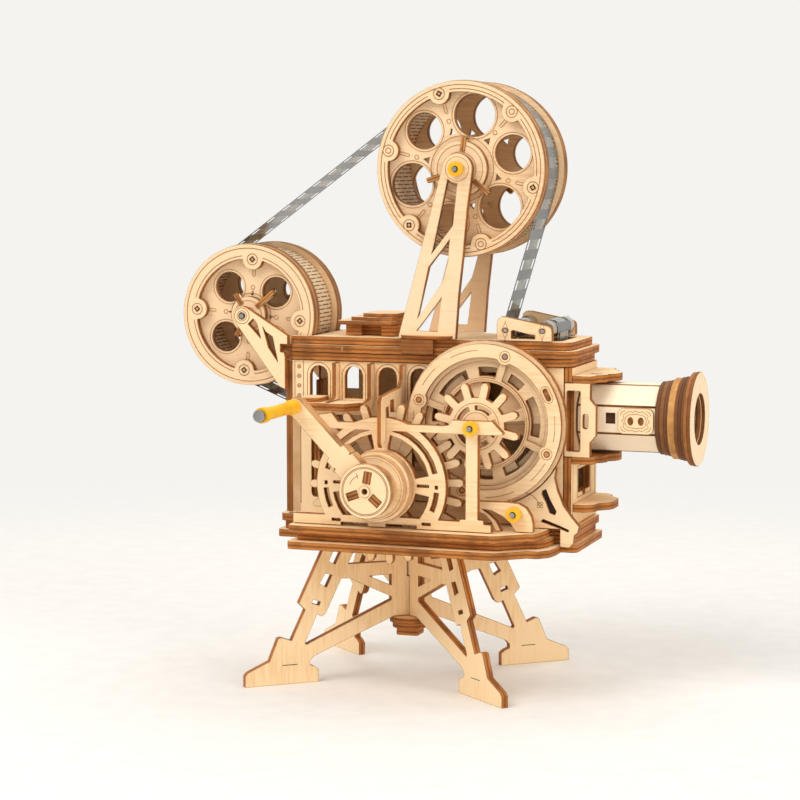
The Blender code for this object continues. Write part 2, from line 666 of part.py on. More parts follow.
def rings(wood):
    """Back ring with its spacer, and the front ring with a thin inner ring on four spokes."""
    centre = (PINION_X, PINION_Z)
    spokes = [sector(19.0, 22.6, begin, end, 4) for begin, end in BACK_WINDOWS]
    hub_windows = [sector(7.6, 16.8, a, a + 70) for a in (25, 115, 205, 295)]
    ring_back = sheet("ring_back", circle(RING_BACK_R), spokes + hub_windows + [circle(SHAFT_R + RUN, count=16)],
                      "XZ", at=(centre[0], -RING_BACK_Y, centre[1]), material=wood)
    spacer_y0 = WALL_OUT + FIT
    spacer_y1 = RING_BACK_Y - PLY / 2 + 0.4
    top = CORNICE_Z - PINION_Z - FIT
    outside = RING_BACK_R - 2.5
    inside = SHUTTER_R + RUN + 0.4
    half = math.degrees(math.asin(top / outside))
    spacer_out = arc(outside, 180 - half, 360 + half, 24) + arc(inside, 410, 130, 24)
    spacer = sheet("ring_spacer", spacer_out, [], "XZ", at=(centre[0], -(spacer_y0 + spacer_y1) / 2, centre[1]),
                   thickness=spacer_y1 - spacer_y0, material=wood)
    fuse(ring_back, spacer)
    bosses = (162, 72, -23, -108)
    boss_at = RING_INNER + 3.2
    holes = [circle(THIN_RING_IN, count=48)]
    for begin, end in zip(bosses, (*bosses[1:], bosses[0] - 360)):
        steps = 12
        outer = []
        for i in range(steps + 1):
            angle = begin - 8 + (end - begin + 16) * i / steps
            outer.append(lobe_reach(angle, RING_INNER, 3.6, boss_at, (begin, end)))
        holes.append(outer + arc(THIN_RING_OUT, end + 8, begin - 8, 10))
    for boss in bosses:
        a = math.radians(boss)
        holes.append(circle(1.2, (boss_at * math.cos(a), boss_at * math.sin(a)), 8))
    holes.append(sector(RING_INNER + 1.2, RING_INNER + 3.2, 18, 30, 3))
    sheet("ring_front", circle(RING_R), holes, "XZ", at=(centre[0], -RING_FRONT_Y, centre[1]), material=wood)


def arch_windows():
    """Cut-outs of the crank arch about the crank's axis."""
    outer, mid, inner, boss = ARCH_RIM, ARCH_MID_OUT, ARCH_MID_IN, ARCH_BOSS
    right = [
        sector(mid, outer, 14, 80, 6), sector(mid, outer, -24, -5, 3), sector(mid + 0.3, outer - 0.5, -1.5, 2, 1),
        sector(boss, inner, 12.7, 79, 5), [*arc(inner, -38, -10.5, 3), *arc(boss, -10.5, -58, 4)],
        rect(boss + 0.4, -0.1, inner - 0.4, 1.0), rect(17.2, -15.3, 20.9, -14.2),
    ]
    return right + [shifted(mirrored(w), 0.0, 0.03) for w in right]


def crank_support(wood):
    """Crank arch and axle bracket as one plate standing on the platform."""
    floor = BASE_TOP + FIT - CRANK_Z
    rail = floor + 4.0
    turn = math.degrees(math.asin(rail / ARCH_R))
    arch = [*arc(ARCH_R, turn, 180 - turn, 30), (-37.6, rail), (-37.6, floor), (-17.0, floor), (-17.0, floor + 1.3),
            (-5.6, floor + 1.3), (-5.6, floor), (2.0, floor), (2.0, floor + 1.45), (15.0, floor + 1.45),
            (15.0, floor), (42.0, floor), (42.0, rail)]
    plate = sheet("crank_arch", arch, arch_windows() + [circle(SHAFT_R + RUN, count=16)], "XZ",
                  at=(CRANK_X, -ARCH_Y, CRANK_Z), material=wood)
    post = 2.5
    px = PINION_X
    bar_low = PINION_Z - 2.4
    bar_top = PINION_Z + 0.5
    raised = PINION_Z + 2.9
    ground = BASE_TOP + FIT + 0.02
    left = CRANK_X - 27.5
    bracket = [
        (px - 10.5, ground), (px + 8.0, ground), (px + 8.0, ground + 3.0), (px + 5.0, ground + 3.2),
        (px + 4.8, ground + 4.8), (px + post, ground + 4.9), (px + post, bar_low - 0.3), (px + 12.2, bar_low),
        (px + 12.8, bar_low + 0.7), (px + 8.2, raised), (px - 8.2, raised), (px - 9.6, bar_top + 0.3),
        (px - 12.0, bar_top), (left + 9.4, bar_top), (left + 6.6, bar_top + 3.5), (left - 2.4, bar_top + 2.1),
        (left + 1.2, bar_low + 0.7), (left + 5.0, bar_low + 0.1), (px - post, bar_low - 0.2), (px - post, ground + 4.9),
        (px - 4.8, ground + 4.8), (px - 5.0, ground + 3.9), (px - 10.5, ground + 3.9),
    ]
    bar = sheet("axle_bar", bracket, [circle(SHAFT_R + RUN, (px, PINION_Z), 16)], "XZ",
                at=(0, -ARCH_Y, 0), thickness=PLY + 0.04, material=wood)
    fuse(plate, bar)


def front_works(wood):
    """Hook plate, shelf, lower bearing bracket with its washer, and the corner gusset."""
    tip = CRANK_Z + GEAR_TIP
    wall_y = WALL_OUT + FIT
    near = GEAR_Y - PLY / 2 - 0.6
    far = GEAR_Y + PLY / 2 + 0.6
    low = CRANK_Z + HUB_R + 4.8
    hook = [
        (-wall_y, WALL_TOP - 0.6), (-wall_y - 3.2, WALL_TOP - 0.6), (-wall_y - 3.7, tip + 7.6),
        (-wall_y - 6.2, tip + 4.8), (-HOOK_Y0 - 4.2, tip + 3.2), (-HOOK_Y0 - 5.9, tip + 1.4), (-HOOK_Y0 - 5.9, low + 1.8),
        (-HOOK_Y0 - 4.3, low), (-HOOK_Y0 - 0.1, low + 2.8), (-HOOK_Y0 - 0.1, tip - 1.6), (-far - 0.4, tip - 1.4),
        (-far, tip + 0.8), (-near, tip + 0.8), (-near + 0.2, tip - 4.4), (-wall_y - 5.7, tip - 5.0),
        (-wall_y, tip - 3.9),
    ]
    sheet("hook_plate", hook, plane="YZ", at=(HOOK_X, 0, 0), thickness=THIN_PLY, material=wood)

    shelf_z = WALL_Z + WINDOW_SILL - 0.9 - PLY / 2
    gear_back = GEAR_Y - PLY / 2
    free_fin = FIN_X[1] - THIN_PLY / 2 - FIT
    shelf = [(-37.5, -wall_y), (-37.5, -gear_back + RUN + 4.0), (-34.5, -gear_back + RUN + 1.0),
             (-16.6, -gear_back + RUN), (free_fin, -wall_y - 5.0), (free_fin, -wall_y)]
    sheet("front_shelf", shelf, plane="XY", at=(0, 0, shelf_z), material=wood)

    ground = BASE_TOP + FIT - LOWER_Z
    bearing = [
        (-17.5, 4.4), (-3.0, 4.5), (1.5, 4.2), (4.5, 2.6), (6.6, -0.5), (7.4, -3.5), (7.4, ground), (0.5, ground),
        (-2.2, -3.2), (-5.5, -0.9), (-9.5, 0.9), (-13.6, 1.3), (-10.5, -0.8), (-7.6, -3.4), (-5.8, ground),
        (-8.0, ground), (-9.8, -3.2), (-12.5, -0.6), (-17.5, 0.6),
    ]
    sheet("lower_bracket", bearing, [circle(SHAFT_R + RUN, count=12)], "XZ", at=(LOWER_X, -LOWER_BRACKET_Y, LOWER_Z),
          material=wood)
    reach = RING_BACK_R + FIT
    edge = PLATFORM_RIGHT + 0.5
    bx, bz = BODY_RIGHT, WALL_Z
    gusset = [
        (edge, bz - 7.1), (bx + 0.7, bz - 7.3), (bx + 2.4, bz - 5.5), (bx + 2.7, bz - 2.3), (bx + 4.1, bz - 1.1),
        (bx + 4.7, bz + 1.3), (bx + 1.7, bz + 4.7), (bx - 1.8, bz + 9.3), (bx - 4.3, bz + 15.3), (bx - 5.5, bz + 20.3),
        (bx - 5.1, bz + 22.8), *arc(reach, -29.9, -75, 8, (PINION_X, PINION_Z)), (PINION_X + 9.1, bz + 4.0),
        (PINION_X + 12.0, bz), (edge, bz),
    ]
    bone = [(bx - 10.5, bz + 14.9), (bx - 8.9, bz + 15.7), (bx - 7.3, bz + 11.8), (bx - 4.6, bz + 6.9),
            (bx - 5.2, bz + 5.5), (bx - 7.3, bz + 6.2), (bx - 8.9, bz + 10.3), (bx - 10.6, bz + 13.5)]
    slit = [(bx - 10.9, bz + 2.6), (bx - 10.1, bz + 3.7), (bx - 3.0, bz + 1.2), (bx + 0.7, bz - 0.3),
            (bx + 0.3, bz - 1.1), (bx - 3.5, bz + 0.3)]
    sheet("corner_gusset", gusset, [circle(SHAFT_R + FIT, (LOWER_X, LOWER_Z), 12), bone, slit], "XZ",
          at=(0, -RING_BACK_Y, 0), material=wood)


def lobed_plate(left, right, half, lobe):
    """Rounded plate whose long sides swell by lobe about their middle."""
    mid = (left + right) / 2
    run = (right - left) / 6
    side = [(left, -half + 1.5), (left + 1.5, -half), (mid - run, -half - 0.1), (mid - run + 1.5, -half - lobe),
            (mid + run - 1.5, -half - lobe - 0.1), (mid + run, -half - 0.2), (right - 1.5, -half), (right, -half + 1.5)]
    if lobe <= 0:
        side = [side[0], side[1], side[6], side[7]]
    return side + [(x, -y) for x, y in reversed(side)]


def deck_fittings(wood, dark):
    """Guide-roller cheeks and the lamp housing on the deck."""
    low = DECK_TOP + FIT
    cheek = [(CHEEK_LEFT, low), (CHEEK_RIGHT, low), (CHEEK_RIGHT, low + 5.8), (CHEEK_LEFT, low + 10.3)]
    x = CHEEK_LEFT
    recess = [(x + 6.0, low + 0.9), (x + 15.9, low + 0.9), (x + 15.9, low + 2.5), (x + 13.4, low + 2.7),
              (x + 7.0, low + 4.2), (x + 6.0, low + 4.0)]
    bores = [circle(GUIDE_PIN_R + 0.3, (gx, GUIDE_Z), 10) for gx in GUIDE_X]
    for name, y in (("roller_cheek_front", -CHEEK_Y), ("roller_cheek_back", CHEEK_Y)):
        sheet(name, rounded(cheek, [0.6, 0.6, 2.4, 3.2]), [recess, *bores], "XZ", at=(0, y, 0), material=wood)
    left, right = LAMP_LEFT, LAMP_RIGHT
    floor_t = LAMP_FOOT_H
    box = sheet("lamp_housing", rect(left + 4.6, -8.0, right - 0.8, 12.7), [], "XY", at=(0, 0, low + floor_t / 2),
                thickness=floor_t, material=dark)
    block = rect(left + 3.8, -12.3, left + 10.4, 0.0)
    post_a = sheet("lamp_post_a", block, [], "XY", at=(0, 0, low + floor_t / 2), thickness=floor_t - 0.02,
                   material=dark)
    post_b = sheet("lamp_post_b", shifted(block, 15.4, 0.0), [], "XY", at=(0, 0, low + floor_t / 2),
                   thickness=floor_t - 0.02, material=dark)
    layers = []
    z = low + floor_t
    for name, inset, lobe in (("plate", 0.0, 0.0), ("crest", 5.4, 1.2), ("crown", 10.0, 0.8)):
        outline = lobed_plate(left + inset, right - inset * 0.07, 14.0 - inset * 0.4, lobe)
        layers.append(sheet(f"lamp_{name}", outline, [], "XY", at=(0, 0, z + THIN_PLY / 2 - 0.05),
                            thickness=THIN_PLY, material=dark))
        z += THIN_PLY - 0.12
    fuse(box, post_a, post_b, *layers)


def lens(wood, glass):
    """Lens bracket, octagonal tube, ringed focusing barrel and its glass."""
    z = LENS_Z
    side_y = WALL_OUT - PLY / 2
    x0 = BODY_RIGHT - PLY
    neck = x0 + 10.4
    bulge = neck + 2.4
    tall = BRACKET_HALF
    side = [(x0, z - tall), (neck, z - tall), (neck, z - 8.8), (bulge - 1.2, z - 7.4), (bulge, z - 6.0),
            (bulge, z + 5.6), (bulge - 1.2, z + 7.0), (neck, z + 8.4), (neck, z + tall), (x0, z + tall)]
    holes = [rounded(rect(x0 + 0.9, z - 12.5, x0 + 6.5, z + 11.7), 0.8), rounded(
        rect(neck - 2.9, z - 3.3, neck - 0.7, z + 2.6), 0.9)]
    bracket = sheet("lens_bracket", side, holes, "XZ", at=(0, -side_y, 0), material=wood)
    far_side = sheet("far_side", side, holes, "XZ", at=(0, side_y, 0), material=wood)
    wide = WALL_OUT
    reach = LENS_PLATE_REACH
    edge = [(SEAT, -wide), (neck, -wide), (neck + 1.4, -wide + 2.6), (neck + 1.0, -wide + 5.2),
            (neck + 3.4, -wide + 7.4), (neck + 4.6, -wide + 10.6), (neck + 4.2, -wide + 13.0),
            (reach - 0.9, -4.6), (reach, -2.2)]
    plate = edge + [(x, -y) for x, y in reversed(edge)]
    slit = rounded(rect(SEAT + 4.0, -8.6, SEAT + 9.0, -6.4), 0.8)
    bite = 0.1
    top_plate = sheet("top_plate", plate, [slit], "XY", at=(0, 0, z + tall + PLY / 2 - bite), material=wood)
    low_plate = sheet("low_plate", plate, [slit], "XY", at=(0, 0, z - tall - PLY / 2 + bite), material=wood)
    fuse(bracket, far_side, top_plate, low_plate)
    shelf_half = WALL_OUT - 2.0
    tip = LENS_SHELF_REACH
    edge = [(SEAT, -shelf_half), (SEAT + 5.0, -shelf_half), (SEAT + 8.2, -shelf_half + 3.6),
            (SEAT + 8.4, -shelf_half + 7.0), (SEAT + 10.6, -shelf_half + 9.4), (tip - 1.0, -7.0), (tip, -4.0)]
    shelf = edge + [(x, -y) for x, y in reversed(edge)]
    radii = [0.0, 2.0, 2.0, 2.0, 2.0, 2.0, 2.0]
    sheet("lens_shelf", rounded(shelf, radii + radii[::-1]), plane="XY", at=(0, 0, LENS_SHELF_Z), material=wood)

    corner = TUBE_FLATS / 2 / math.cos(math.pi / 8)
    tube = sheet("lens_tube", circle(corner, count=8, start=22.5), [circle(TUBE_BORE / 2, count=32)], "YZ",
                 at=((SEAT + TUBE_END) / 2, 0, z), thickness=TUBE_END - SEAT, material=wood)
    window_cut = sheet("tube_window", rect(TUBE_END - 19.4, z - 1.6, TUBE_END - 15.4, z + 2.8), plane="XZ",
                       at=(0, -TUBE_FLATS / 2, 0), thickness=TUBE_FLATS / 2, material=wood)
    cut(tube, window_cut)

    back = BARREL_FRONT - sum(length for length, radius in BARREL_RINGS) - FIT
    sleeve = TUBE_BORE / 2 - RUN
    profile = [(BARREL_BORE - 3.0, TUBE_END - 16.0), (sleeve, TUBE_END - 16.0), (sleeve, back)]
    x = back
    for length, radius in BARREL_RINGS:
        profile += [(radius, x), (radius, x + length)]
        x += length
    profile += [(BARREL_BORE, x), (BARREL_BORE, x - 5.0), (BARREL_BORE - 3.0, x - 5.0)]
    turned("lens_barrel", profile, "X", (0, 0, z), wood, 32)
    turned("lens_glass", [(0.0, x - 4.7), (BARREL_BORE - FIT, x - 4.7), (BARREL_BORE - FIT, x - 3.9),
                          (BARREL_BORE * 0.6, x - 3.0), (0.0, x - 2.6)], "X", (0, 0, z), glass, 24)


def crank(wood, steel, yellow):
    """Crank gear, shaft, stepped hub, arm, pin and the spinning grip."""
    axis = (CRANK_X, 0, CRANK_Z)
    spokes = [sector(9.0, 20.5, a, a + 44) for a in range(8, 360, 60)]
    sheet("crank_gear", gear_outline(CRANK_TEETH, MESH_ANGLE), spokes + [circle(SHAFT_R + FIT, count=16)], "XZ",
          at=(CRANK_X, -GEAR_Y, CRANK_Z), material=wood)
    turned("crank_shaft", rod_profile(SHAFT_R, -(HUB_Y1 - 5.0), -WALL_IN), "Y", axis, steel, 16)
    bore = SHAFT_R + FIT
    drum_end = ARM_Y - PLY - FIT
    drums = [
        (bore, -drum_end), (bore, -HUB_Y0), (HUB_R + 3.4, -HUB_Y0), (HUB_R + 3.4, -HUB_Y0 - 5.2),
        (HUB_R + 2.0, -HUB_Y0 - 5.2), (HUB_R + 2.0, -drum_end),
    ]
    turned("crank_hub", drums, "Y", axis, wood, 32)

    angle = math.radians(CRANK_ARM_ANGLE)
    along = (math.cos(angle), math.sin(angle))
    across = (-along[1], along[0])

    def local(u, v):
        return (along[0] * u + across[0] * v, along[1] * u + across[1] * v)

    root = HUB_R - 0.8
    half_shape = [(root, 5.3), (HUB_R + 4.2, 5.3), (HUB_R + 4.2, 4.2), (HUB_R + 4.7, 4.2), (HUB_R + 4.7, 4.9),
                  (HUB_R + 8.8, 4.9), (HUB_R + 9.2, 3.4), (CRANK_ARM + 0.6, 3.4), (CRANK_ARM + 3.0, 2.2)]
    shape = [local(u, -v) for u, v in half_shape] + [local(u, v) for u, v in reversed(half_shape)]
    gap = math.degrees(math.asin(5.3 / HUB_R)) + 3.0
    disc = arc(HUB_R - 1.2, CRANK_ARM_ANGLE + gap, CRANK_ARM_ANGLE + 360 - gap, 24)
    pin_at = local(CRANK_ARM, 0.0)
    arm = sheet("crank_arm", disc + shape, [circle(bore, count=16), circle(SHAFT_R, pin_at, 12)], "XZ",
                at=(CRANK_X, -ARM_Y, CRANK_Z), thickness=2 * PLY, material=wood)
    face_t = HUB_Y1 - ARM_Y - PLY + 0.1
    tabs = []
    for k in range(3):
        a = math.radians(HUB_TAB_ANGLE + 120 * k)
        corners = rect(3.1, -1.6, 7.9, 1.6)
        tabs.append([(u * math.cos(a) - v * math.sin(a), u * math.sin(a) + v * math.cos(a)) for u, v in corners])
    face = sheet("hub_face", circle(HUB_R, count=32), [circle(bore - 0.1, count=16, start=9.0), *tabs], "XZ",
                 at=(CRANK_X, -(HUB_Y1 - face_t / 2), CRANK_Z), thickness=face_t, material=wood)
    fuse(arm, face)
    pin = (CRANK_X + pin_at[0], 0, CRANK_Z + pin_at[1])
    arm_front = ARM_Y + PLY
    tip = arm_front + 2 * FIT + GRIP_LENGTH
    turned("handle_pin", [(0.0, -(tip + 2.0)), (GRIP_R * 0.8, -(tip + 2.0)), (GRIP_R * 0.8, -tip - FIT),
                          (SHAFT_R - FIT, -tip - FIT), (SHAFT_R - FIT, -ARM_Y + PLY), (0.0, -ARM_Y + PLY)],
           "Y", pin, steel, 12)
    start = arm_front + FIT
    waist = [(SHAFT_R, -start), (GRIP_R, -start), (GRIP_R, -start - 4.0), (GRIP_R - 0.5, -start - 7.0),
             (GRIP_R - 0.6, -start - GRIP_LENGTH / 2), (GRIP_R - 0.5, -start - GRIP_LENGTH + 7.0),
             (GRIP_R, -start - GRIP_LENGTH + 4.0), (GRIP_R, -start - GRIP_LENGTH), (SHAFT_R, -start - GRIP_LENGTH)]
    turned("handle_grip", waist, "Y", pin, yellow, 20)


def shutter(wood, steel, yellow):
    """Pinion, its shaft and cap, and the three-bladed shutter behind the rings."""
    at = (PINION_X, 0, PINION_Z)
    offset = MESH_ANGLE + 180 + 180 / PINION_TEETH
    slots = [sector(6.6, 8.4, a, a + 52) for a in range(42, 402, 72)]
    bore = circle(SHAFT_R + FIT, count=16)
    sheet("pinion_gear", gear_outline(PINION_TEETH, offset), [*slots, bore], "XZ",
          at=(PINION_X, -GEAR_Y, PINION_Z), material=wood)
    cap_y = ARCH_Y + PLY / 2 + RUN
    turned("shutter_shaft", rod_profile(SHAFT_R, -(cap_y + CAP_T + 0.8), WALL_OUT - 1.0), "Y", at, steel, 16)
    turned("shutter_cap", tube_profile(SHAFT_R + FIT, CAP_R, -(cap_y + CAP_T), -cap_y), "Y", at, yellow, 20)
    blade_y = (WALL_OUT + RING_BACK_Y - PLY / 2) / 2
    blades = []
    for k in range(3):
        a = 120 * k
        blades += arc(SHUTTER_R, a, a + 66, 10)
        blades += arc(6.0, a + 72, a + 114, 4)
    sheet("shutter_disc", blades, [bore], "XZ", at=(PINION_X, -blade_y, PINION_Z), thickness=SHUTTER_T,
          material=wood)


def reel(prefix, centre, radius, half, style, wood):
    """Reel: two layered flanges and a kerf-slotted drum between them."""
    x, z = centre
    first, holes, rim, boss_at, boss_r, ring_r, window_r, knob_r = style
    inner_half = half - 2 * REEL_LAYER
    step = 360 / holes
    bosses = [first + step * k for k in range(holes)]
    hub = circle(SHAFT_R + FIT, count=12)
    seat = circle(SHAFT_R + RUN, count=12, start=11.0)
    windows = []
    for k in range(holes):
        a = math.radians(bosses[k] - step / 2)
        windows.append(circle(window_r[k % 2], (ring_r * math.cos(a), ring_r * math.sin(a)), 16, 7.0))
    for side, name in ((-1, f"{prefix}_front"), (1, f"{prefix}_back")):
        inner_y = side * (inner_half + REEL_LAYER / 2)
        outer_y = side * (inner_half + REEL_LAYER * 1.5 - 0.1)
        disc = sheet(name, circle(radius), windows + [seat], "XZ", at=(x, inner_y, z),
                     thickness=REEL_LAYER, material=wood)
        ring = sheet("rim", circle(radius - 0.3), [lobed_hole(rim, boss_r, boss_at, bosses)],
                     "XZ", at=(x, outer_y, z), thickness=REEL_LAYER + 0.2, material=wood)
        knob = sheet("knob", circle(knob_r, count=24, start=5.0), [hub], "XZ", at=(x, outer_y, z),
                     thickness=REEL_LAYER + 0.2, material=wood)
        fuse(disc, ring, knob)
    film_r = radius - FLANGE_LIP
    width = inner_half - FIT
    sheet(f"{prefix}_drum", circle(film_r - FIT), [circle(film_r - FIT - DRUM_WALL)], "XZ", at=(x, 0, z),
          thickness=2 * width, material=wood)


def reels(wood, steel, yellow):
    """Upper reel and take-up reel with their axles and cap."""
    reel("upper_reel", (UPPER_X, UPPER_Z), UPPER_R, UPPER_HALF, UPPER_STYLE, wood)
    reel("take_up", (TAKE_X, TAKE_Z), TAKE_R, TAKE_HALF, TAKE_STYLE, wood)
    end = TOWER_Y + PLY / 2 + RUN
    turned("upper_reel_axle", rod_profile(SHAFT_R, -(end + CAP_T + 0.8), end + 1.0), "Y",
           (UPPER_X, 0, UPPER_Z), steel, 16)
    turned("upper_reel_cap", tube_profile(SHAFT_R + FIT, CAP_R, -(end + CAP_T), -end), "Y",
           (UPPER_X, 0, UPPER_Z), yellow, 20)
    end = ARM_PLATE_Y + PLY / 2 + RUN
    turned("take_up_axle", rod_profile(SHAFT_R, -end, end), "Y", (TAKE_X, 0, TAKE_Z), steel, 16)


def rollers(brass, steel, yellow):
    """Two guide rollers on the deck and the lower film roller with its cap."""
    half = CHEEK_Y - PLY / 2 - RUN
    pin = GUIDE_PIN_R
    end = CHEEK_Y + PLY / 2
    for name, x in (("guide_roller_left", GUIDE_X[0]), ("guide_roller_right", GUIDE_X[1])):
        w = FILM_W / 2 + 0.8
        profile = [(0.0, -end), (pin, -end), (pin, -half), (GUIDE_R, -half), (GUIDE_R, -w), (GUIDE_R - 0.4, -w),
                   (GUIDE_R - 0.4, w), (GUIDE_R, w), (GUIDE_R, half), (pin, half), (pin, end), (0.0, end)]
        turned(name, profile, "Y", (x, 0, GUIDE_Z), brass, 20)
    front = LOWER_BRACKET_Y + PLY / 2 + RUN
    w = FILM_W / 2 + 0.8
    shaft = [(0.0, -(front + CAP_T + 0.8)), (SHAFT_R, -(front + CAP_T + 0.8)), (SHAFT_R, -w), (LOWER_R, -w),
             (LOWER_R, w), (SHAFT_R, w), (SHAFT_R, WALL_OUT - 1.0), (0.0, WALL_OUT - 1.0)]
    turned("lower_roller", shaft, "Y", (LOWER_X, 0, LOWER_Z), steel, 20)
    turned("lower_cap", tube_profile(SHAFT_R + FIT, CAP_R, -(front + CAP_T), -front), "Y",
           (LOWER_X, 0, LOWER_Z), yellow, 20)


def tangent(a, ra, sa, b, rb, sb):
    """Where a band leaves circle a and meets circle b; s is +1 for clockwise, -1 for the other way."""
    dx, dz = b[0] - a[0], b[1] - a[1]
    dist = math.hypot(dx, dz)
    base = math.atan2(dz, dx)
    swing = math.asin((sa * ra - sb * rb) / dist)
    normal = base + math.pi / 2 - swing
    first = (a[0] + sa * ra * math.cos(normal), a[1] + sa * ra * math.sin(normal))
    second = (b[0] + sb * rb * math.cos(normal), b[1] + sb * rb * math.sin(normal))
    return first, second


def band_loop(wheels, offset):
    """Closed path round wheels, each (x, z, radius, sense, arc steps), moved out by offset."""
    count = len(wheels)
    radii = [w[2] + w[3] * offset for w in wheels]
    ends = []
    for i in range(count):
        j = (i + 1) % count
        a, b = wheels[i], wheels[j]
        ends.append(tangent((a[0], a[1]), radii[i], a[3], (b[0], b[1]), radii[j], b[3]))
    points = []
    for i in range(count):
        x, z, _, sense, steps = wheels[i]
        begin = ends[i - 1][1]
        stop = ends[i][0]
        a0 = math.atan2(begin[1] - z, begin[0] - x)
        a1 = math.atan2(stop[1] - z, stop[0] - x)
        sweep = (a1 - a0) % (2 * math.pi)
        if sense > 0:
            sweep -= 2 * math.pi
        for k in range(steps + 1):
            a = a0 + sweep * k / steps
            points.append((x + radii[i] * math.cos(a), z + radii[i] * math.sin(a)))
    return points


def film(plastic, dark):
    """One closed loop of film round both reels and the rollers, and the film gate."""
    wheels = [
        (TAKE_X, TAKE_Z, TAKE_FILM_R, 1, 16),
        (UPPER_X, UPPER_Z, UPPER_FILM_R, 1, 14),
        (GUIDE_X[0], GUIDE_Z, GUIDE_R - 0.1 + FILM_T, -1, 6),
        (GUIDE_X[1], GUIDE_Z, GUIDE_R - 0.1, 1, 6),
        (LOWER_X, LOWER_Z, LOWER_R + FIT, 1, 6),
    ]
    sheet("film_strip", band_loop(wheels, FILM_T), [band_loop(wheels, 0.0)], "XZ", thickness=FILM_W,
          material=plastic)
    gate_x = BODY_RIGHT - PLY - FIT - PLY / 2
    half = WALL_IN - FIT
    sheet("film_gate", rect(-half, LENS_Z - 20.0, half, LENS_Z + 18.0),
          [rect(-FILM_W / 2 + 3.0, LENS_Z - 5.0, FILM_W / 2 - 3.0, LENS_Z + 5.0)], "YZ", at=(gate_x, 0, 0),
          material=dark)


def main():
    """Build every sub-part."""
    clear_scene()
    wood = finish("basswood plywood", (0.86, 0.68, 0.44), 0.65)
    dark = finish("stained plywood", (0.45, 0.26, 0.12), 0.65)
    steel = finish("steel rod", (0.62, 0.62, 0.62), 0.3, 1.0)
    brass = finish("brass roller", (0.75, 0.58, 0.30), 0.3, 1.0)
    yellow = finish("yellow silicone", (1.0, 0.62, 0.02), 0.45)
    plastic = finish("grey film", (0.25, 0.25, 0.26), 0.35, 0.0, 0.5)
    glass = finish("lens glass", (0.9, 0.93, 0.95), 0.05, 0.0, 1.0)
    stand(wood, dark)
    base(wood)
    housing(wood)
    deck(wood)
    towers(wood)
    rings(wood)
    crank_support(wood)
    front_works(wood)
    deck_fittings(wood, dark)
    lens(wood, glass)
    crank(wood, steel, yellow)
    shutter(wood, steel, yellow)
    reels(wood, steel, yellow)
    rollers(brass, steel, yellow)
    film(plastic, dark)


main()
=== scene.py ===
"""Looks of a hand-cranked wooden film projector model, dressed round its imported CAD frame.

Lengths in the classes are millimetres; MM turns them to metres where a mesh is made.
X runs along the lens axis, Y into the picture, Z up, as in the frame. WELD is the gap in
metres below which points merge, SLACK a rounding allowance, FACING the least cosine at
which a side counts as a sheet's face, and SMOOTH the angle below which shading is smooth.
"""
import logging
import math
from dataclasses import dataclass, field
from enum import Enum

import bpy
from mathutils import Matrix, Vector


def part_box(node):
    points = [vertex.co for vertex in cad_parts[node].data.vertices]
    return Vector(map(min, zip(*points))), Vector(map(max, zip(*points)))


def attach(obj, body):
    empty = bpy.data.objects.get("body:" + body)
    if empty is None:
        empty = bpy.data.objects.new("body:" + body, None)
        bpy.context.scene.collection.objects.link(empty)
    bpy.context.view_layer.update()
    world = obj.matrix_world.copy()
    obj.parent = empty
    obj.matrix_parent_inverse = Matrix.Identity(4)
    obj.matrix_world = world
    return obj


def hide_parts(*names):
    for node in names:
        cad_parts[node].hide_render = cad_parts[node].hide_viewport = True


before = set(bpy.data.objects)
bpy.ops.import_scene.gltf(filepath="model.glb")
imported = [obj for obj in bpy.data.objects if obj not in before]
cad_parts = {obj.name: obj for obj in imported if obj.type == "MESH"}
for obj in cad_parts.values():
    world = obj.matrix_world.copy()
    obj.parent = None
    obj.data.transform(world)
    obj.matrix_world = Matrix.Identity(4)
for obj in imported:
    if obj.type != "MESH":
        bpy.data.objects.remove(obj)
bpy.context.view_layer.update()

MM = 0.001
PLY = 3.0
WELD = 1e-6
SLACK = 1e-9
FACING = 0.8
SMOOTH = math.radians(30)
LOG = logging.getLogger("projector")

Point = tuple[float, float]
Loop = list[Point]
Line = tuple[Loop, bool]
Wheel = tuple[float, float, float, int]


class Plane(Enum):
    """The plane that flat work is drawn in, as the turn of a flat curve."""

    FLOOR = (0.0, 0.0, 0.0)
    FRONT = (math.pi / 2, 0.0, 0.0)
    SIDE = (math.pi / 2, 0.0, math.pi / 2)


class Grain(Enum):
    """The direction across a sheet's thickness, as a unit vector."""

    ACROSS_X = (1.0, 0.0, 0.0)
    ACROSS_Y = (0.0, 1.0, 0.0)
    ACROSS_Z = (0.0, 0.0, 1.0)


def linear(code: str) -> tuple[float, float, float, float]:
    """Turn an sRGB hex colour to linear light.

    Args:
        code: Six hex digits.

    Returns:
        Linear red, green, blue and an alpha of one.
    """
    parts = [int(code[i:i + 2], 16) / 255 for i in (0, 2, 4)]
    red, green, blue = [p / 12.92 if p <= 0.04045 else ((p + 0.055) / 1.055) ** 2.4 for p in parts]
    return red, green, blue, 1.0


def add_node(tree: bpy.types.NodeTree, kind: str, links: dict | None = None, values: dict | None = None,
             **settings: object) -> bpy.types.Node:
    """Add a shader node with its settings, values and incoming links.

    Args:
        tree: The material's node tree.
        kind: The node's type name.
        links: Input name or number to the socket that feeds it.
        values: Input name or number to a constant.
        settings: Properties of the node.

    Returns:
        The new node.
    """
    node = tree.nodes.new(kind)
    for key, value in settings.items():
        setattr(node, key, value)
    for key, value in (values or {}).items():
        node.inputs[key].default_value = value
    for key, socket in (links or {}).items():
        tree.links.new(socket, node.inputs[key])
    return node


